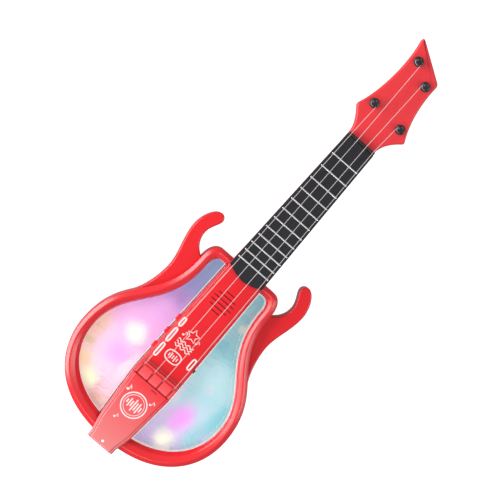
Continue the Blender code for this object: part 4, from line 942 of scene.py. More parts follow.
combine(tail_plate, "DIFFERENCE",
        stacked("tool", [(hollow, DECK_SKIRT - 5 * MM), (hollow, DECK_TOP - DECK_WALL)]),
        block("tool", (-40 * MM, TAIL_END - 10 * MM, DECK_SKIRT - 5 * MM), (40 * MM, rim_start, RIM_ROOM)),
        pin(DECK_SKIRT - 1 * MM, DECK_TOP + 10 * MM, STRAP_HOLE_RADIUS, 0, STRAP_HOLE_Y, 32),
        block("tool", (3.2 * MM, -160.2 * MM, DECK_TOP + 1.2 * MM),
              (10.4 * MM, -158.9 * MM, DECK_TOP + 10 * MM)))
# The tail's red is pinker than the body's, and turns pinker still towards the tab: a painted sheen for the
# light its slope catches.
tail_red = moulded_plastic("red_gloss_tail", (0.73, 0.03, 0.04), (0.70, 0.04, 0.05), 0.22,
                           painted_light_fade=((0.70, 0.19, 0.19), TAIL_START + SHOULDER_Y, TAIL_END + SHOULDER_Y))
settle(tail_plate, "guitar", ["tail_plate"], tail_red, 40)


# ---------------------------------------------------------------- printed marks
# White ink, pad printed on the deck and the tail plate: an outline beside each button and the switch, and
# plain music signs, with a star, sound waves, level bars, a ring and notes. None of it is anyone's mark.

INK_LIFT = 0.03 * MM
INK_DEPTH = 0.07 * MM
white_ink = moulded_plastic("white_ink", (0.90, 0.72, 0.72), (0.84, 0.62, 0.62), 0.45, grain=0.6)


def draw_line(bm, path, width, closed, height_at):
    """Flat band of ink along a path."""
    count = len(path)
    rings = []
    for index in range(count):
        here = Vector(path[index])
        before = Vector(path[index - 1]) if index or closed else here
        after = Vector(path[(index + 1) % count]) if index < count - 1 or closed else here
        direction = (after - before).normalized()
        across = Vector((-direction.y, direction.x)) * 0.5 * width
        ring = []
        for point, lift in ((here + across, 0), (here - across, 0), (here - across, INK_DEPTH),
                            (here + across, INK_DEPTH)):
            ring.append(bm.verts.new((point.x, point.y, height_at(point.y) + INK_LIFT + lift)))
        rings.append(ring)
    pairs = list(zip(rings, rings[1:])) + ([(rings[-1], rings[0])] if closed else [])
    for low, high in pairs:
        for index in range(4):
            following = (index + 1) % 4
            bm.faces.new((low[index], low[following], high[following], high[index]))
    if not closed:
        bm.faces.new(rings[0])
        bm.faces.new(rings[-1])


def draw_spot(bm, centre, radius, height_at, squash=1.0, sides=20):
    """Filled dot of ink."""
    rings = []
    for lift in (0, INK_DEPTH):
        ring = []
        for side in range(sides):
            angle = math.tau * side / sides
            x, y = centre[0] + radius * math.cos(angle), centre[1] + squash * radius * math.sin(angle)
            ring.append(bm.verts.new((x, y, height_at(y) + INK_LIFT + lift)))
        rings.append(ring)
    skin(bm, rings)


def signed_power(value, power):
    """Power of a number that keeps its sign."""
    return math.copysign(abs(value) ** power, value)


def oval(x, y, reach_x, reach_y, steps=48, power=1.0):
    """Closed oval path, squarer as the power falls."""
    path = []
    for step in range(steps):
        angle = math.tau * step / steps
        c, s = math.cos(angle), math.sin(angle)
        path.append((x + reach_x * signed_power(c, power), y + reach_y * signed_power(s, power)))
    return path


def draw_note(bm, x, y, size, lean, height_at):
    """Quaver: a round head, a stem and a flag."""
    draw_spot(bm, (x, y), 0.30 * size, height_at, 0.8)
    stem_x = x + 0.25 * size
    tip = (stem_x + lean * size, y + 1.1 * size)
    draw_line(bm, [(stem_x, y), tip], 0.14 * size, False, height_at)
    flag = cubic(tip, (tip[0] + 0.1 * size, tip[1] - 0.3 * size), (tip[0] + 0.5 * size, tip[1] - 0.3 * size),
                 (tip[0] + 0.42 * size, tip[1] - 0.72 * size), 8)
    draw_line(bm, flag, 0.16 * size, False, height_at)


def deck_face(y):
    """Height of the middle of the deck."""
    return DECK_TOP


def draw_bars(bm, x, y, pitch, reaches, width, height_at):
    """Row of upright level bars, centred on a point; all in millimetres."""
    for step, reach in enumerate(reaches):
        bar_x = (x + (step - (len(reaches) - 1) / 2) * pitch) * MM
        draw_line(bm, [(bar_x, (y - reach) * MM), (bar_x, (y + reach) * MM)], width * MM, False, height_at)


def draw_notes(bm, notes, height_at):
    """Notes from (x, y, size, lean), in millimetres."""
    for x, y, size, lean in notes:
        draw_note(bm, x * MM, y * MM, size * MM, lean, height_at)


# x, y, half width and half length of the outline beside each control, in millimetres
PILLS = ((-18.6, -84.7, 1.8, 4.9), (-18.6, -101.9, 1.8, 8.2), (-18.6, -121.8, 1.8, 7.8),
         (18.0, -112.7, 1.9, 6.3))
bm = bmesh.new()
for x, y, reach_x, reach_y in PILLS:
    draw_line(bm, oval(x * MM, y * MM, reach_x * MM, reach_y * MM, 44, 0.5), 1.7 * MM, True, deck_face)
STAR_X, STAR_Y, STAR_POINT, STAR_NOTCH = -0.4 * MM, -89.2 * MM, 7.4 * MM, 3.6 * MM
star = []
for step in range(10):
    angle = math.tau * (step / 10 + 0.27)
    reach = STAR_NOTCH if step % 2 else STAR_POINT
    star.append((STAR_X + reach * math.cos(angle), STAR_Y + reach * math.sin(angle)))
draw_line(bm, star, 1.0 * MM, True, deck_face)
for row in range(3):
    wave = [((k - 15) * 0.72 * MM, (-100.3 - 3.3 * row + 1.15 * math.sin(k * 0.72 + 0.7 * row)) * MM)
            for k in range(29)]
    draw_line(bm, wave, 1.0 * MM, False, deck_face)
draw_notes(bm, ((-9.6, -94.3, 4.4, 0.1), (7.1, -93.5, 4.0, 0.1)), deck_face)
draw_line(bm, oval(-2.0 * MM, -119.2 * MM, 8.9 * MM, 6.2 * MM, 56, 0.75), 1.3 * MM, True, deck_face)
draw_bars(bm, -2.0, -119.2, 2.6, (1.7, 3.2, 2.3, 3.6, 1.9), 1.15, deck_face)
settle(new_solid("deck_print", bm), "guitar", finish=white_ink)

RING_X, RING_Y, RING_RADIUS, RING_GAP = -0.2, -183.6, 13.7, 2.6
bm = bmesh.new()
for radius, steps, width in ((RING_RADIUS, 80, 1.35), (RING_RADIUS - RING_GAP, 72, 0.6)):
    ring = oval(RING_X * MM, RING_Y * MM, radius * MM, radius * MM, steps)
    draw_line(bm, ring, width * MM, True, tail_height)
draw_bars(bm, RING_X, RING_Y, 2.75, (2.2, 5.0, 3.4, 7.2, 4.6, 6.0, 2.8), 1.45, tail_height)
draw_notes(bm, ((-16.4, -174.2, 5.2, -0.15), (12.4, -172.2, 4.4, 0.2), (-8.2, -205.2, 4.0, 0.1)), tail_height)
settle(new_solid("tail_print", bm), "guitar", finish=white_ink)


# ---------------------------------------------------------------- buttons and switch
# Red push buttons come out of the left wall of the deck, each held by a flange inside, and a black slide
# switch sits in a slot in the right wall.

button_red = moulded_plastic("red_button", (0.73, 0.02, 0.03), RED_CLOUD, 0.24)
BUTTON_HALF, BUTTON_THICK, FLANGE_HALF, FLANGE_THICK = 3.7 * MM, 4.0 * MM, 4.9 * MM, 5.2 * MM


def wall_block(name, x_low, x_high, y, half_length, thick):
    """Block that lies in a side wall at the height of the controls."""
    return block(name, (x_low, y - half_length, CONTROL_Z - thick / 2),
                 (x_high, y + half_length, CONTROL_Z + thick / 2))


for number, y in enumerate(BUTTON_YS, 1):
    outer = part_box(f"side_button_{number}")[0].x
    inner = -strip_half_width(y) + DECK_WALL + FIT
    cap = wall_block(f"side_button_cap_{number}", outer, inner + 0.5 * MM, y, BUTTON_HALF, BUTTON_THICK)
    rounded(cap, 1.1 * MM, 4)
    combine(cap, "UNION", wall_block("tool", inner + 0.2 * MM, inner + 1.2 * MM, y, FLANGE_HALF, FLANGE_THICK))
    settle(cap, f"button_{number}", [f"side_button_{number}"], button_red)

switch_low, switch_high = plan_box("power_switch")
switch_inner = strip_half_width(SWITCH_Y) - DECK_WALL - FIT
switch_start = SWITCH_Y - 2.0 * MM
switch_black = moulded_plastic("black_switch", (0.016, 0.016, 0.018), (0.03, 0.03, 0.032), 0.40, grain=0.8)
slider = wall_block("power_switch_slider", switch_inner - 0.5 * MM, switch_high.x, switch_start, 2.0 * MM,
                    4.0 * MM)
rounded(slider, 0.5 * MM, 3)
combine(slider, "DIFFERENCE", *[
    wall_block("tool", switch_high.x - 0.35 * MM, switch_high.x + 1 * MM, switch_start + k * 0.9 * MM,
               0.22 * MM, 6 * MM) for k in (-1, 0, 1)])
combine(slider, "UNION", block("tool", (switch_inner - 1.2 * MM, switch_low.y, CONTROL_Z - FLANGE_THICK / 2),
                               (switch_inner - 0.2 * MM, switch_high.y, CONTROL_Z + FLANGE_THICK / 2)))
settle(slider, "switch", ["power_switch"], switch_black)


# ---------------------------------------------------------------- bridge
# One red moulding glued to the end of the deck: a low sill, a sharp saddle that the strings cross, and a
# flat block behind it, cut by four slots where the strings are knotted.

BRIDGE_LOW, BRIDGE_HIGH = plan_box("bridge")
SADDLE_TOP = BRIDGE_HIGH.z
SADDLE_Y = -140.6 * MM
PAD_TOP = DECK_TOP + 3.5 * MM
SADDLE_XS = (-20.2 * MM, -6.5 * MM, 6.5 * MM, 20.2 * MM)
bridge_top, bridge_end, base = BRIDGE_HIGH.y, BRIDGE_LOW.y, BRIDGE_LOW.z
side = [(bridge_top, base), (bridge_top, base + 1.7 * MM), (bridge_top - 1.6 * MM, base + 2.3 * MM),
        (bridge_top - 2.2 * MM, base + 1.2 * MM), (bridge_top - 2.9 * MM, base + 1.2 * MM),
        (SADDLE_Y + 0.75 * MM, SADDLE_TOP), (SADDLE_Y - 0.75 * MM, SADDLE_TOP),
        (SADDLE_Y - 1.9 * MM, PAD_TOP - 1.2 * MM), (SADDLE_Y - 2.7 * MM, PAD_TOP - 1.2 * MM),
        (SADDLE_Y - 3.4 * MM, PAD_TOP), (bridge_end + 2.3 * MM, PAD_TOP - 0.6 * MM),
        (bridge_end + 0.9 * MM, PAD_TOP - 1.5 * MM), (bridge_end, PAD_TOP - 1.7 * MM), (bridge_end, base)]
bm = bmesh.new()
skin(bm, [[bm.verts.new((x, y, z)) for y, z in side] for x in (BRIDGE_LOW.x, BRIDGE_HIGH.x)])
bridge = new_solid("bridge_moulding", bm)
combine(bridge, "DIFFERENCE", *[
    block("tool", (x - 1.0 * MM, bridge_end - 5 * MM, base + 0.3 * MM),
          (x + 1.0 * MM, SADDLE_Y - 2.0 * MM, SADDLE_TOP + 5 * MM)) for x in SADDLE_XS])
rounded(bridge, 0.32 * MM, 3, math.radians(30))
# The bridge's red is pinker than the body's: a painted sheen for the light its sloping pads catch.
bridge_red = moulded_plastic("red_gloss_bridge", (0.75, 0.06, 0.07), (0.72, 0.05, 0.06), 0.24)
settle(bridge, "guitar", ["bridge"], bridge_red, 40)


# ---------------------------------------------------------------- neck and headstock
# Satin red, one moulding from the heel to the headstock: a round back, a flat top under the fretboard, and
# an uneven headstock whose face lies lower than the neck. Its tenon is screwed down inside the body.

NECK_TOP = DECK_TOP
NECK_LENGTH = 179.0 * MM
HEAD_TOP = NECK_TOP - 2.0 * MM
HEAD_LOW = HEAD_TOP - 12.0 * MM
BOARD_START = plan_box("fretboard")[0].y
BOARD_HALF = 22.0 * MM
NUT_HALF = 17.8 * MM
# number, millimetres from the centre line and from the nut, side on which the string meets the peg
TUNERS = ((1, -17.2, 38.7, 1), (2, -10.5, 101.4, 1), (3, 12.0, 86.2, -1), (4, 21.4, 35.5, -1))
SHAFT_RADIUS = 2.8 * MM
SHAFT_HOLE = SHAFT_RADIUS + SPIN_ROOM


def board_half_width(y):
    """Half the width of the fretboard at a height on the plan."""
    return interpolate(((BOARD_START, BOARD_HALF), (NECK_LENGTH, NUT_HALF)), y)


def trimmed(line, cut_start, cut_end):
    """Open line with a length taken off each end."""
    for cut in (cut_start, cut_end):
        left = cut
        while left > 0:
            step = (Vector(line[1]) - Vector(line[0])).length
            if step > left:
                line = [tuple(Vector(line[0]).lerp(Vector(line[1]), left / step))] + line[1:]
                break
            left -= step
            line = line[1:]
        line = line[::-1]
    return line


def rounded_outline(parts, radii, steps=8):
    """Closed loop of open lines, each corner between two lines rounded by its own radius."""
    loop = []
    for index, part in enumerate(parts):
        end_radius = radii[index]
        line = trimmed(part, radii[index - 1], end_radius)
        following = trimmed(parts[(index + 1) % len(parts)], end_radius, 0)
        loop += line
        if end_radius:
            corner = Vector(part[-1])
            leave, reach = Vector(line[-1]).lerp(corner, 0.6), Vector(following[0]).lerp(corner, 0.6)
            loop += cubic(line[-1], leave, reach, following[0], steps)[1:-1]
        else:
            loop.pop()
    return loop


def head_loop():
    """Outline of the headstock, its foot a little below the nut."""
    nut = NECK_LENGTH
    ear_left, ear_right = (-31.0 * MM, nut + 27.5 * MM), (35.3 * MM, nut + 27.0 * MM)
    tip, top_right = (-23.8 * MM, nut + 125.8 * MM), (21.8 * MM, nut + 96.2 * MM)
    half = NUT_HALF - 0.6 * MM
    parts = [
        cubic((-half, nut), (-half, nut + 11 * MM), (-26 * MM, nut + 21 * MM), ear_left, 16),
        cubic(ear_left, (-21 * MM, nut + 48 * MM), (-15.5 * MM, tip[1] - 31 * MM), tip, 26),
        [tip, top_right],
        cubic(top_right, (20.2 * MM, top_right[1] - 21.5 * MM), (23.6 * MM, nut + 47 * MM), ear_right, 22),
        cubic(ear_right, (28 * MM, nut + 21 * MM), (18.4 * MM, nut + 13 * MM), (half, nut), 16),
        [(half, nut), (half, nut - 6 * MM), (-half, nut - 6 * MM), (-half, nut)]]
    return rounded_outline(parts, [3.0 * MM, 6.2 * MM, 3.4 * MM, 2.5 * MM, 0, 0])[::-1]


def neck_bottom(y):
    """Height of the back of the neck, smoothed from the heel to the head."""
    slim = NECK_TOP - 15.0 * MM
    stations = ((0.3 * MM, 7.0 * MM), (6 * MM, 7.5 * MM), (12 * MM, 11.0 * MM), (20.4 * MM, slim - 3.5 * MM),
                (31.2 * MM, slim - 0.5 * MM), (80.5 * MM, slim), (170 * MM, slim + 0.8 * MM),
                (NECK_LENGTH, HEAD_LOW))
    return sum(interpolate(stations, y + (k - 3) * 1.2 * MM) for k in range(7)) / 7


NECK_SIDE = NECK_TOP - 2.5 * MM     # where the round of the back begins
bm = bmesh.new()
rings = []
neck_ys = [0.3 * MM + 2.0 * MM * k for k in range(20)] + [(44 + 9 * k) * MM for k in range(14)] + [
    165 * MM, 168 * MM, 171 * MM, 174 * MM, 177 * MM, NECK_LENGTH]
for y in neck_ys:
    half, bottom = board_half_width(y) - 0.2 * MM, neck_bottom(y)
    ring = [(half, NECK_TOP)]
    for step in range(25):
        angle = math.pi * step / 24
        drop = (NECK_SIDE - bottom) * math.sin(angle) ** 0.7
        ring.append((half * signed_power(math.cos(angle), 0.7), NECK_SIDE - drop))
    ring.append((-half, NECK_TOP))
    rings.append([bm.verts.new((x, y, z)) for x, z in ring])
skin(bm, rings)
neck = new_solid("neck_moulding", bm)
head = stacked("tool", round_levels(head_loop(), HEAD_LOW, HEAD_TOP, 2.0 * MM, 2.1 * MM))
combine(neck, "UNION", head, block("tool", (-14 * MM, -12 * MM, 10 * MM), (14 * MM, 3 * MM, TUB_TOP - FIT)))
cuts = [pin(HEAD_LOW - 5 * MM, HEAD_TOP + 5 * MM, SHAFT_HOLE, x * MM, NECK_LENGTH + y * MM)
        for _, x, y, _ in TUNERS]
cuts += [pin(5 * MM, TUB_TOP - 4 * MM, PILOT_RADIUS, x, y, 20) for x, y in screw_spots if y > NECK_ZONE]
combine(neck, "DIFFERENCE", *cuts)
neck_red = moulded_plastic("red_satin_neck", (0.74, 0.034, 0.044), (0.70, 0.030, 0.038), 0.36, 0.06, 0.8, 0.08)
settle(neck, "guitar", ["neck"], neck_red, 40)


# ---------------------------------------------------------------- fretboard and nut
# A matt black board with fine moulded wood grain, glued on the neck, its end cut to a shallow point over
# the deck. The nut is a separate black bar with a notch for each string.

BOARD_LOW, BOARD_HIGH = plan_box("fretboard")
BOARD_POINT = 6.2 * MM
board_black, tree, shader = new_material("black_grained_board")
stretched = wire(tree, "ShaderNodeMapping", {"Vector": object_place(tree), "Scale": (1.0, 0.06, 1.0)})
fibres = noise(tree, stretched.outputs["Vector"], 900.0, 5.0, Roughness=0.7)
feed(tree, shader.inputs, {
    "Base Color": mix(tree, ranged(tree, fibres, 0.3, 0.75), (0.008, 0.008, 0.011, 1),
                      (0.020, 0.020, 0.025, 1)),
    "Roughness": ranged(tree, fibres, to_low=0.52, to_high=0.72), "Specular IOR Level": 0.3,
    "Normal": bump(tree, fibres, 0.35, 0.2 * MM)})

shoulder_y = BOARD_START + BOARD_POINT
right = [(0, BOARD_START), (0.5 * board_half_width(shoulder_y), BOARD_START + 0.35 * BOARD_POINT),
         (board_half_width(shoulder_y), shoulder_y), (board_half_width(BOARD_HIGH.y), BOARD_HIGH.y)]
outline = right + [(-x, y) for x, y in reversed(right[1:])]
board = stacked("fretboard_plate", round_levels(outline, BOARD_LOW.z, BOARD_HIGH.z, 0, 0.6 * MM, 4))
settle(board, "guitar", ["fretboard"], board_black)

NUT_LOW, NUT_HIGH = plan_box("nut")
NUT_XS = (-15.0 * MM, -5.8 * MM, 5.8 * MM, 15.0 * MM)
nut_black = moulded_plastic("black_nut", (0.012, 0.012, 0.014), (0.02, 0.02, 0.022), 0.30)
nut = block("nut_bar", NUT_LOW, NUT_HIGH)
rounded(nut, 0.9 * MM, 4)
combine(nut, "DIFFERENCE", *[block("tool", (x - 0.55 * MM, NECK_LENGTH - 9 * MM, NUT_HIGH.z - 0.35 * MM),
                                   (x + 0.55 * MM, NECK_LENGTH + 3 * MM, NUT_HIGH.z + 2 * MM)) for x in NUT_XS])
settle(nut, "guitar", ["nut"], nut_black)


# ---------------------------------------------------------------- frets
# Twelve bars of silvered plastic with rounded crowns, pressed into the board. Each lies a twelfth root of
# two closer to the bridge than the one before, and is cut a little short of the board's edges.

brushed_metal, start, end = effect_group("brushed_metal", {
    "Position": "Vector", "Stretch": "Vector", "Bright": (0.8, 0.8, 0.8, 1), "Dull": (0.6, 0.6, 0.6, 1),
    "Polish": 0.25}, SURFACE)
lines = reckon_vector(brushed_metal, "MULTIPLY", start["Position"], start["Stretch"])
scratches = noise(brushed_metal, lines, 1500.0, 4.0)
feed(brushed_metal, end, {
    "Colour": mix(brushed_metal, scratches, start["Bright"], start["Dull"]),
    "Roughness": reckon(brushed_metal, "MULTIPLY_ADD", scratches, 0.16, start["Polish"]), "Height": scratches})


def metal(name, bright, dull, polish, stretch=(1, 1, 1), metallic=1.0):
    """Bare or plated metal with fine scratches along one direction."""
    material, tree, shader = new_material(name)
    surface = wire(tree, "ShaderNodeGroup", node_tree=brushed_metal)
    feed(tree, surface.inputs, {"Position": object_place(tree), "Stretch": stretch, "Bright": (*bright, 1),
                                "Dull": (*dull, 1), "Polish": polish})
    feed(tree, shader.inputs, {
        "Base Color": surface.outputs["Colour"], "Roughness": surface.outputs["Roughness"],
        "Normal": bump(tree, surface.outputs["Height"], 0.08, 0.05 * MM), "Metallic": metallic})
    return material


fret_tree, start, end = new_tree("frets_by_rule", {
    "Count": 12, "Datum Y": 0.0, "Scale Length": 324.9 * MM, "Half Width At Datum": 0.02, "Taper": -0.02,
    "Height": 0.0, "Fret": "Object", "Material": "Material"})
index = wire(fret_tree, "GeometryNodeInputIndex").outputs["Index"]
power = reckon(fret_tree, "DIVIDE", reckon(fret_tree, "ADD", index, 1.0), -12.0)
along = reckon(fret_tree, "MULTIPLY", reckon(fret_tree, "POWER", 2.0, power), start["Scale Length"])
half = reckon(fret_tree, "MULTIPLY_ADD", along, start["Taper"], start["Half Width At Datum"])
fret_y = reckon(fret_tree, "ADD", along, start["Datum Y"])
copies_across(fret_tree, start, end, start["Count"], fret_y, half, "Fret")

FRET_DATUM = -156.6 * MM        # end of the scale at the bridge
FRET_WIDTH, FRET_HEIGHT, FRET_INSET = 1.7 * MM, 0.8 * MM, 1.4 * MM
crown = [(0.5 * FRET_WIDTH, 0)] + [(0.5 * FRET_WIDTH * math.cos(a), FRET_HEIGHT * (0.25 + 0.75 * math.sin(a)))
                                   for a in (math.pi * k / 10 for k in range(11))] + [(-0.5 * FRET_WIDTH, 0)]
# place across the fret, size of its section there
FRET_ENDS = ((-1.0, 0.55), (-0.985, 0.85), (-0.96, 1.0), (0.96, 1.0), (0.985, 0.85), (1.0, 0.55))
bm = bmesh.new()
skin(bm, [[bm.verts.new((x, y * pinch, z * pinch)) for y, z in crown] for x, pinch in FRET_ENDS])
fret_shape = new_solid("fret_shape", bm, 0)
taper = (NUT_HALF - BOARD_HALF) / (NECK_LENGTH - BOARD_START)
half_at_datum = board_half_width(BOARD_START) - FRET_INSET + taper * (FRET_DATUM - BOARD_START)
fret_silver = metal("silver_fret", (0.80, 0.80, 0.82), (0.68, 0.68, 0.71), 0.22, (0.05, 1, 1), 0.85)
frets = grown("fret_bars", fret_tree, {
    "Datum Y": FRET_DATUM + SHOULDER_Y, "Half Width At Datum": half_at_datum, "Taper": taper,
    "Height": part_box("fret_01")[0].z, "Fret": fret_shape, "Material": fret_silver})
bpy.data.objects.remove(fret_shape)
settle(frets, "guitar", [f"fret_{number:02d}" for number in range(1, 13)])


# ---------------------------------------------------------------- tuners and string windings
# Four black pegs in pressed-in collars: a drum for the string under a domed cap, and a thumb wing behind
# the head. The string's last turns go round with the peg.

coil_tree, start, end = new_tree("coil", {
    "Turns": 3.0, "Radius": 4.0 * MM, "Length": 2.4 * MM, "Wire Radius": 0.4 * MM, "Place": "Vector",
    "Turn": "Vector", "Material": "Material"})
spiral = wire(coil_tree, "GeometryNodeCurveSpiral", {
    "Resolution": 28, "Rotations": start["Turns"], "Start Radius": start["Radius"],
    "End Radius": start["Radius"], "Height": start["Length"]})
section = wire(coil_tree, "GeometryNodeCurvePrimitiveCircle", {"Resolution": 8, "Radius": start["Wire Radius"]})
coil = wire(coil_tree, "GeometryNodeCurveToMesh", {
    "Curve": spiral.outputs["Curve"], "Profile Curve": section.outputs["Curve"], "Fill Caps": True})
placed = wire(coil_tree, "GeometryNodeTransform", {
    "Geometry": coil.outputs["Mesh"], "Translation": start["Place"], "Rotation": start["Turn"]})
close_tree(coil_tree, placed.outputs["Geometry"], start["Material"], end)

tuner_black = moulded_plastic("black_gloss_tuner", (0.012, 0.013, 0.018), (0.022, 0.024, 0.032), 0.16, 0.06)
collar_black = moulded_plastic("black_collar", (0.010, 0.010, 0.011), (0.02, 0.02, 0.021), 0.28)
nylon = moulded_plastic("nylon_string", (0.84, 0.78, 0.78), (0.78, 0.72, 0.72), 0.28, 0.06, grain=0.2)
nylon.node_tree.nodes["Principled BSDF"].inputs["Alpha"].default_value = 0.45
COLLAR_RADIUS = 5.4 * MM
DRUM_RADIUS = 3.6 * MM
CAP_RADIUS = 4.2 * MM
STRING_RADIUS = 0.32 * MM
STRING_REACH = DRUM_RADIUS + 0.2 * MM
COLLAR_HEIGHT = 1.2 * MM
DRUM_HEIGHT = 4.2 * MM
CAP_HEIGHT = 1.9 * MM
WING_HEIGHT, WING_REACH, WING_HALF = 8.5 * MM, 9.0 * MM, 2.5 * MM
collar_low = HEAD_TOP + FIT
drum_low = collar_low + COLLAR_HEIGHT + SPIN_ROOM
drum_high = drum_low + DRUM_HEIGHT
cap_top = drum_high + CAP_HEIGHT
stem_top = HEAD_LOW - SPIN_ROOM
wing_top = stem_top - 2.5 * MM
WIND_Z = drum_low + 0.45 * DRUM_HEIGHT


def profile_from(*runs):
    """(radius, height) points from runs of (radius, height, steps), each step millimetres out and up."""
    return [(radius + out * MM, height + up * MM) for radius, height, steps in runs for out, up in steps]


collar_profile = profile_from(
    (SHAFT_HOLE, collar_low, ((0, 0),)),
    (COLLAR_RADIUS, collar_low, ((0, 0), (0, 0.5), (-0.12, 0.85), (-0.45, 1.12), (-0.9, 1.2))),
    (SHAFT_HOLE, collar_low, ((0.35, 1.2), (0, 0.9))))
peg_profile = profile_from(
    (0, wing_top, ((0, -1.0),)),
    (DRUM_RADIUS, wing_top, ((0, -1.0), (0.5, 0))),
    (DRUM_RADIUS, stem_top, ((1.1, -1.0), (1.0, -0.3), (0.7, 0))),
    (SHAFT_RADIUS, stem_top, ((0, 0),)),
    (SHAFT_RADIUS, drum_low, ((0, 0),)),
    (DRUM_RADIUS, drum_low, ((0.3, 0), (0, 0.5), (-0.2, 1.9))),
    (DRUM_RADIUS, drum_high, ((0, -0.3),)),
    (CAP_RADIUS, drum_high, ((-0.2, 0.1), (0, 0.4), (0, 1.0), (-0.2, 1.45))),
    (CAP_RADIUS, cap_top, ((-0.6, -0.12), (-1.1, 0), (-1.5, -0.15), (-2.0, -0.45))),
    (0, cap_top, ((1.0, -0.6), (0.02, -0.62), (0, -0.62))))


def wing_levels(x, y, steps=12, sides=40):
    """Levels of a thumb wing, full in its middle and thinner towards its two ends."""
    levels = []
    for step in range(steps + 1):
        share = step / steps
        squeeze = math.sqrt(max(1 - abs(2 * share - 1) ** 3.5, 0.03))
        loop = []
        for side in range(sides):
            s, c = math.sin(math.tau * side / sides), math.cos(math.tau * side / sides)
            half = WING_HALF * (0.62 + 0.38 * abs(s) ** 2) * squeeze
            reach = WING_REACH * (0.80 + 0.20 * squeeze)
            loop.append((x + half * signed_power(s, 0.55), y - reach * signed_power(c, 0.8)))
        levels.append((loop[::-1], wing_top - WING_HEIGHT * (1 - share)))
    return levels


for number, x, y, side in TUNERS:
    x, y = x * MM, NECK_LENGTH + y * MM
    bm = bmesh.new()
    skin(bm, [[bm.verts.new(point) for point in circle(radius, height, (x, y), 56)]
              for radius, height in collar_profile], closed_section=True)
    collar = new_solid(f"tuner_collar_{number}", bm)
    settle(collar, "guitar", [f"tuner_bushing_{number}"], collar_black)
    peg = turned(f"tuner_peg_turned_{number}", peg_profile, (x, y), 56)
    combine(peg, "UNION", stacked("tool", wing_levels(x, y)))
    settle(peg, f"tuner_{number}", [f"tuner_peg_{number}"], tuner_black, 45)
    winding = grown(f"string_winding_{number}", coil_tree, {
        "Turns": 2.75, "Radius": STRING_REACH, "Length": 2.3 * MM, "Wire Radius": STRING_RADIUS,
        "Place": (x, y + SHOULDER_Y, WIND_Z - 1.2 * MM), "Turn": (0, 0, 0.0 if side > 0 else math.pi),
        "Material": nylon})
    settle(winding, f"tuner_{number}", [], smooth=70)


# ---------------------------------------------------------------- strings
# Four nylon strings of one thickness, knotted behind the bridge, over the saddle and the nut, and drawn
# down to the side of each peg.

SADDLE_Z = SADDLE_TOP + STRING_RADIUS + FIT
NUT_Z = NUT_HIGH.z + STRING_RADIUS + FIT


def tube(bm, path, radius, sides=12):
    """Round tube along a path of points, closed at both ends."""
    points = [Vector(point) for point in path]
    rings = []
    for index, here in enumerate(points):
        before = points[max(index - 1, 0)]
        after = points[min(index + 1, len(points) - 1)]
        direction = (after - before).normalized()
        across = direction.cross(Vector((0, 0, 1))).normalized()
        up = across.cross(direction)
        ring = []
        for side in range(sides):
            angle = math.tau * side / sides
            ring.append(bm.verts.new(here + (across * math.cos(angle) + up * math.sin(angle)) * radius))
        rings.append(ring)
    skin(bm, rings)


for (number, post_x, post_y, side), nut_x, saddle_x in zip(TUNERS, NUT_XS, SADDLE_XS):
    meet_x = post_x * MM + side * STRING_REACH
    meet_y = NECK_LENGTH + post_y * MM + 0.3 * MM
    route = [(saddle_x, SADDLE_Y + along * MM, height) for along, height in (
        (-5.6, BRIDGE_LOW.z + 0.8 * MM), (-4.4, BRIDGE_LOW.z + 1.6 * MM), (-2.4, PAD_TOP),
        (-1.1, SADDLE_Z - 0.4 * MM), (-0.3, SADDLE_Z), (0.6, SADDLE_Z))]
    nut_y = NECK_LENGTH - 1.9 * MM
    leave_y, leave_z = nut_y + 2.6 * MM, NUT_Z - 0.35 * MM
    for share in (0.25, 0.5, 0.75):
        route.append(tuple(Vector(route[5]).lerp(Vector((nut_x, nut_y, NUT_Z)), share)))
    route += [(nut_x, nut_y - 1.2 * MM, NUT_Z), (nut_x, nut_y + 0.8 * MM, NUT_Z - 0.02 * MM)]
    for share in (0, 0.3, 0.6, 0.9, 1.0):
        route.append((nut_x + (0.03 + 0.97 * share) * (meet_x - nut_x), leave_y + (meet_y - leave_y) * share,
                      leave_z + (WIND_Z - leave_z) * share))
    bm = bmesh.new()
    tube(bm, route, STRING_RADIUS)
    string = new_solid(f"string_line_{number}", bm)
    settle(string, "guitar", [f"string_{number}"], nylon, 70)


# ---------------------------------------------------------------- battery door
# A flat red lid in the back, level with the shell, with finger ribs near its screw end. It lifts off when
# its one screw is out, and a label would sit on its blank middle.

door_screw_low, door_screw_high = plan_box("battery_door_screw")
DOOR_SCREW_Y = (door_screw_low.y + door_screw_high.y) / 2
DOOR_SEAT = door_low.z + 0.9 * MM       # under the head of its screw
lid_red = moulded_plastic("red_door", (0.71, 0.014, 0.022), RED_CLOUD, 0.30, grain=1.2, relief=0.12)

row_tree, start, end = new_tree("row_of_ribs", {
    "Count": 5, "First": "Vector", "Step": "Vector", "Rib": "Object", "Material": "Material"})
line = wire(row_tree, "GeometryNodeMeshLine", {
    "Count": start["Count"], "Start Location": start["First"], "Offset": start["Step"]})
rib_shape = wire(row_tree, "GeometryNodeObjectInfo", {"Object": start["Rib"]})
rib_row = wire(row_tree, "GeometryNodeInstanceOnPoints", {
    "Points": line.outputs["Mesh"], "Instance": rib_shape.outputs["Geometry"]})
close_tree(row_tree, rib_row.outputs["Instances"], start["Material"], end)

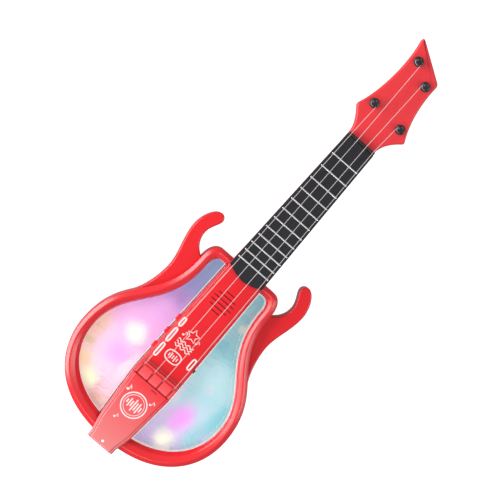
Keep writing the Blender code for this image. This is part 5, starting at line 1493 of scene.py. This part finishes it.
lid = block("battery_door_lid", door_low, door_high)
rounded(lid, 0.45 * MM, 3)
groove = recentred(stacked("groove_shape", [(oval(0, 0, 9.0 * MM, 0.55 * MM, 28, 0.5), -0.45 * MM),
                                            (oval(0, 0, 8.6 * MM, 0.25 * MM, 28, 0.5), 0.45 * MM)]))
grooves = grown("grooves", row_tree, {
    "Count": 6, "First": (0, DOOR_SCREW_Y + SHOULDER_Y + 8.0 * MM, door_low.z), "Step": (0, 1.9 * MM, 0),
    "Rib": groove, "Material": lid_red})
bpy.data.objects.remove(groove)
combine(lid, "DIFFERENCE", pin(-5 * MM, DOOR_SEAT, SCREW_RADIUS + FIT, 0, DOOR_SCREW_Y),
        pin(-6 * MM, 5 * MM, PILOT_RADIUS, 0, DOOR_SCREW_Y, 20), grooves)
settle(lid, "door", ["battery_door"], lid_red)


# ---------------------------------------------------------------- screws
# Zinc-plated self-tapping screws with a cross recess: six hold the front frame and the shell together, two
# hold the neck, and a short one holds the battery door.

screw_zinc = metal("zinc_screw", (0.74, 0.74, 0.76), (0.55, 0.55, 0.58), 0.24)


THREAD_PITCH = 1.0 * MM
CROSS_ARM, CROSS_HALF = 1.5 * MM, 0.32 * MM


def screw_solid(name, head_face, cross_depth, seat, tip, dome):
    """Screw whose head faces down: a dome with a cross recess, and a threaded shank."""
    profile = [(0, head_face), (0.45 * SCREW_RADIUS, head_face), (0.8 * SCREW_RADIUS, head_face + 0.25 * dome),
               (0.95 * SCREW_RADIUS, head_face + 0.6 * dome), (SCREW_RADIUS, head_face + dome),
               (SCREW_RADIUS, seat), (1.2 * MM, seat)]
    for turn in range(int((tip - seat - 2 * MM) / THREAD_PITCH)):
        z = seat + 0.4 * MM + turn * THREAD_PITCH
        profile += [(1.0 * MM, z), (1.3 * MM, z + 0.3 * THREAD_PITCH), (1.0 * MM, z + 0.6 * THREAD_PITCH)]
    profile += [(0.8 * MM, tip - 1.5 * MM), (0.2 * MM, tip), (0, tip)]
    screw = turned(name, profile, (0, 0), 32)
    bars = []
    for half_x, half_y, end_x, end_y in ((CROSS_ARM, CROSS_HALF, 0.5, 1), (CROSS_HALF, CROSS_ARM, 1, 0.5)):
        wide = [(-half_x, -half_y), (half_x, -half_y), (half_x, half_y), (-half_x, half_y)]
        narrow = [(px * end_x, py * end_y) for px, py in wide]
        bars.append(stacked("tool", [(wide, head_face - 1 * MM), (wide, head_face),
                                     (narrow, head_face + cross_depth)]))
    return recentred(combine(screw, "DIFFERENCE", *bars))


screw_tree, start, end = new_tree("screws_on_points", {
    "Points": "Geometry", "Screw": "Object", "Seed": 7, "Material": "Material"})
any_turn = wire(screw_tree, "FunctionNodeRandomValue", {"Seed": start["Seed"]}, data_type="FLOAT")
any_turn.inputs[3].default_value = math.tau
turned_by = wire(screw_tree, "ShaderNodeCombineXYZ", {"Z": any_turn.outputs[1]})
screw_shape = wire(screw_tree, "GeometryNodeObjectInfo", {"Object": start["Screw"]})
screw_row = wire(screw_tree, "GeometryNodeInstanceOnPoints", {
    "Points": start["Points"], "Instance": screw_shape.outputs["Geometry"],
    "Rotation": turned_by.outputs["Vector"]})
close_tree(screw_tree, screw_row.outputs["Instances"], start["Material"], end)

for label, kept, tip in (("shell_screws", [s for s in screw_spots if s[1] < NECK_ZONE], TUB_TOP + 4 * MM),
                         ("neck_screws", [s for s in screw_spots if s[1] > NECK_ZONE], TUB_TOP - 5 * MM)):
    shape = screw_solid("screw_shape", SCREW_SINK, 1.0 * MM, SCREW_SINK + SCREW_HEAD, tip, 0.6 * MM)
    spots = bpy.data.meshes.new(label)
    spots.from_pydata([(x, y + SHOULDER_Y, 0) for x, y in kept], [], [])
    screws = grown(label, screw_tree, {"Screw": shape, "Seed": 7, "Material": screw_zinc}, spots)
    bpy.data.objects.remove(shape)
    nodes = [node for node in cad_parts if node.startswith(label[:-1] + "_")]
    settle(screws, "guitar", nodes)

door_screw = screw_solid("door_screw", door_low.z + 0.15 * MM, 0.4 * MM, DOOR_SEAT - FIT, door_screw_high.z,
                         0.25 * MM)
door_screw.data.transform(Matrix.Translation((0, DOOR_SCREW_Y + SHOULDER_Y, 0)))
settle(door_screw, "door", ["battery_door_screw"], screw_zinc)


# ---------------------------------------------------------------- batteries and contacts
# Three AA size cells in printed jackets lie side by side behind the door. They touch a plated strip at
# each end.

JACKET_BLUE, JACKET_RING = (0.02, 0.05, 0.20, 1), (0.55, 0.57, 0.60, 1)
jacket_print, tree, shader = new_material("battery_jacket_print")
position = object_place(tree)
split = wire(tree, "ShaderNodeSeparateXYZ", {"Vector": position})
run = ranged(tree, split.outputs["Y"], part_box("battery_1")[0].y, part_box("battery_1")[1].y)
bands = wire(tree, "ShaderNodeValToRGB", {"Fac": run})
bands.color_ramp.interpolation = "CONSTANT"
bands.color_ramp.elements[0].color = JACKET_BLUE
bands.color_ramp.elements[1].position = 0.72
bands.color_ramp.elements[1].color = JACKET_RING
bands.color_ramp.elements.new(0.76).color = JACKET_BLUE
scuffs = noise(tree, position, 240.0, 5.0)
feed(tree, shader.inputs, {
    "Base Color": bands.outputs["Color"], "Roughness": ranged(tree, scuffs, to_low=0.2, to_high=0.42)})
contact_steel = metal("nickel_contact", (0.80, 0.78, 0.74), (0.62, 0.60, 0.57), 0.22)
for number in (1, 2, 3):
    low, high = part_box(f"battery_{number}")
    facing = 1 if number % 2 else -1
    radius = (high.x - low.x) / 2
    half = (high.y - low.y) / 2
    profile = profile_from(
        (0, -half, ((0, 0),)),
        (radius, -half, ((-1.6, 0), (-1.2, 0.25), (-0.4, 0.2), (0, 0.6))),
        (radius, half, ((0, -2.0), (-0.4, -1.5), (-1.4, -1.3))),
        (0, half, ((2.7, -1.2), (2.6, -0.2), (2.3, 0), (0, 0))))
    cell = recentred(turned(f"battery_cell_{number}", profile))
    turn = Matrix.Rotation(-facing * math.pi / 2, 4, "X")
    cell.data.transform(Matrix.Translation((low + high) / 2) @ turn)
    cell.data.materials.append(jacket_print)
    cell.data.materials.append(contact_steel)
    middle_y = (low.y + high.y) / 2
    for face in cell.data.polygons:
        if abs(face.center.y - middle_y) > half - 1.0 * MM:
            face.material_index = 1
    settle(cell, "guitar", [f"battery_{number}"])

for label in ("upper", "lower"):
    strip_plate = block(f"contact_strip_{label}", *plan_box("battery_contact_" + label))
    rounded(strip_plate, 0.15 * MM, 2)
    settle(strip_plate, "guitar", ["battery_contact_" + label], contact_steel)


# ---------------------------------------------------------------- parts inside
# The speaker, the circuit boards and the battery box keep their solids, and get their own finishes: black
# paper, green solder mask, white light domes and matt black polystyrene.

board_green, tree, shader = new_material("green_solder_mask")
position = object_place(tree)
tracks = wire(tree, "ShaderNodeTexBrick", {
    "Vector": position, "Scale": 260.0, "Mortar Size": 0.03, "Color1": (0.010, 0.120, 0.040, 1),
    "Color2": (0.014, 0.150, 0.052, 1), "Mortar": (0.020, 0.200, 0.075, 1)})
feed(tree, shader.inputs, {
    "Base Color": tracks.outputs["Color"],
    "Roughness": ranged(tree, noise(tree, position, 300.0), to_low=0.25, to_high=0.45)})
light_board = moulded_plastic("white_light_board", (0.72, 0.74, 0.72), (0.60, 0.64, 0.62), 0.35)
speaker_black = moulded_plastic("black_speaker_paper", (0.018, 0.018, 0.019), (0.035, 0.035, 0.036), 0.62,
                                grain=1.5, relief=0.3)
box_black = moulded_plastic("black_battery_box", (0.016, 0.016, 0.017), (0.028, 0.028, 0.029), 0.45,
                            grain=1.2, relief=0.15)
for node, material in (("speaker", speaker_black), ("main_board", board_green), ("left_led_board", light_board),
                       ("right_led_board", light_board), ("battery_box", box_black)):
    for material_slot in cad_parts[node].material_slots:
        material_slot.material = material
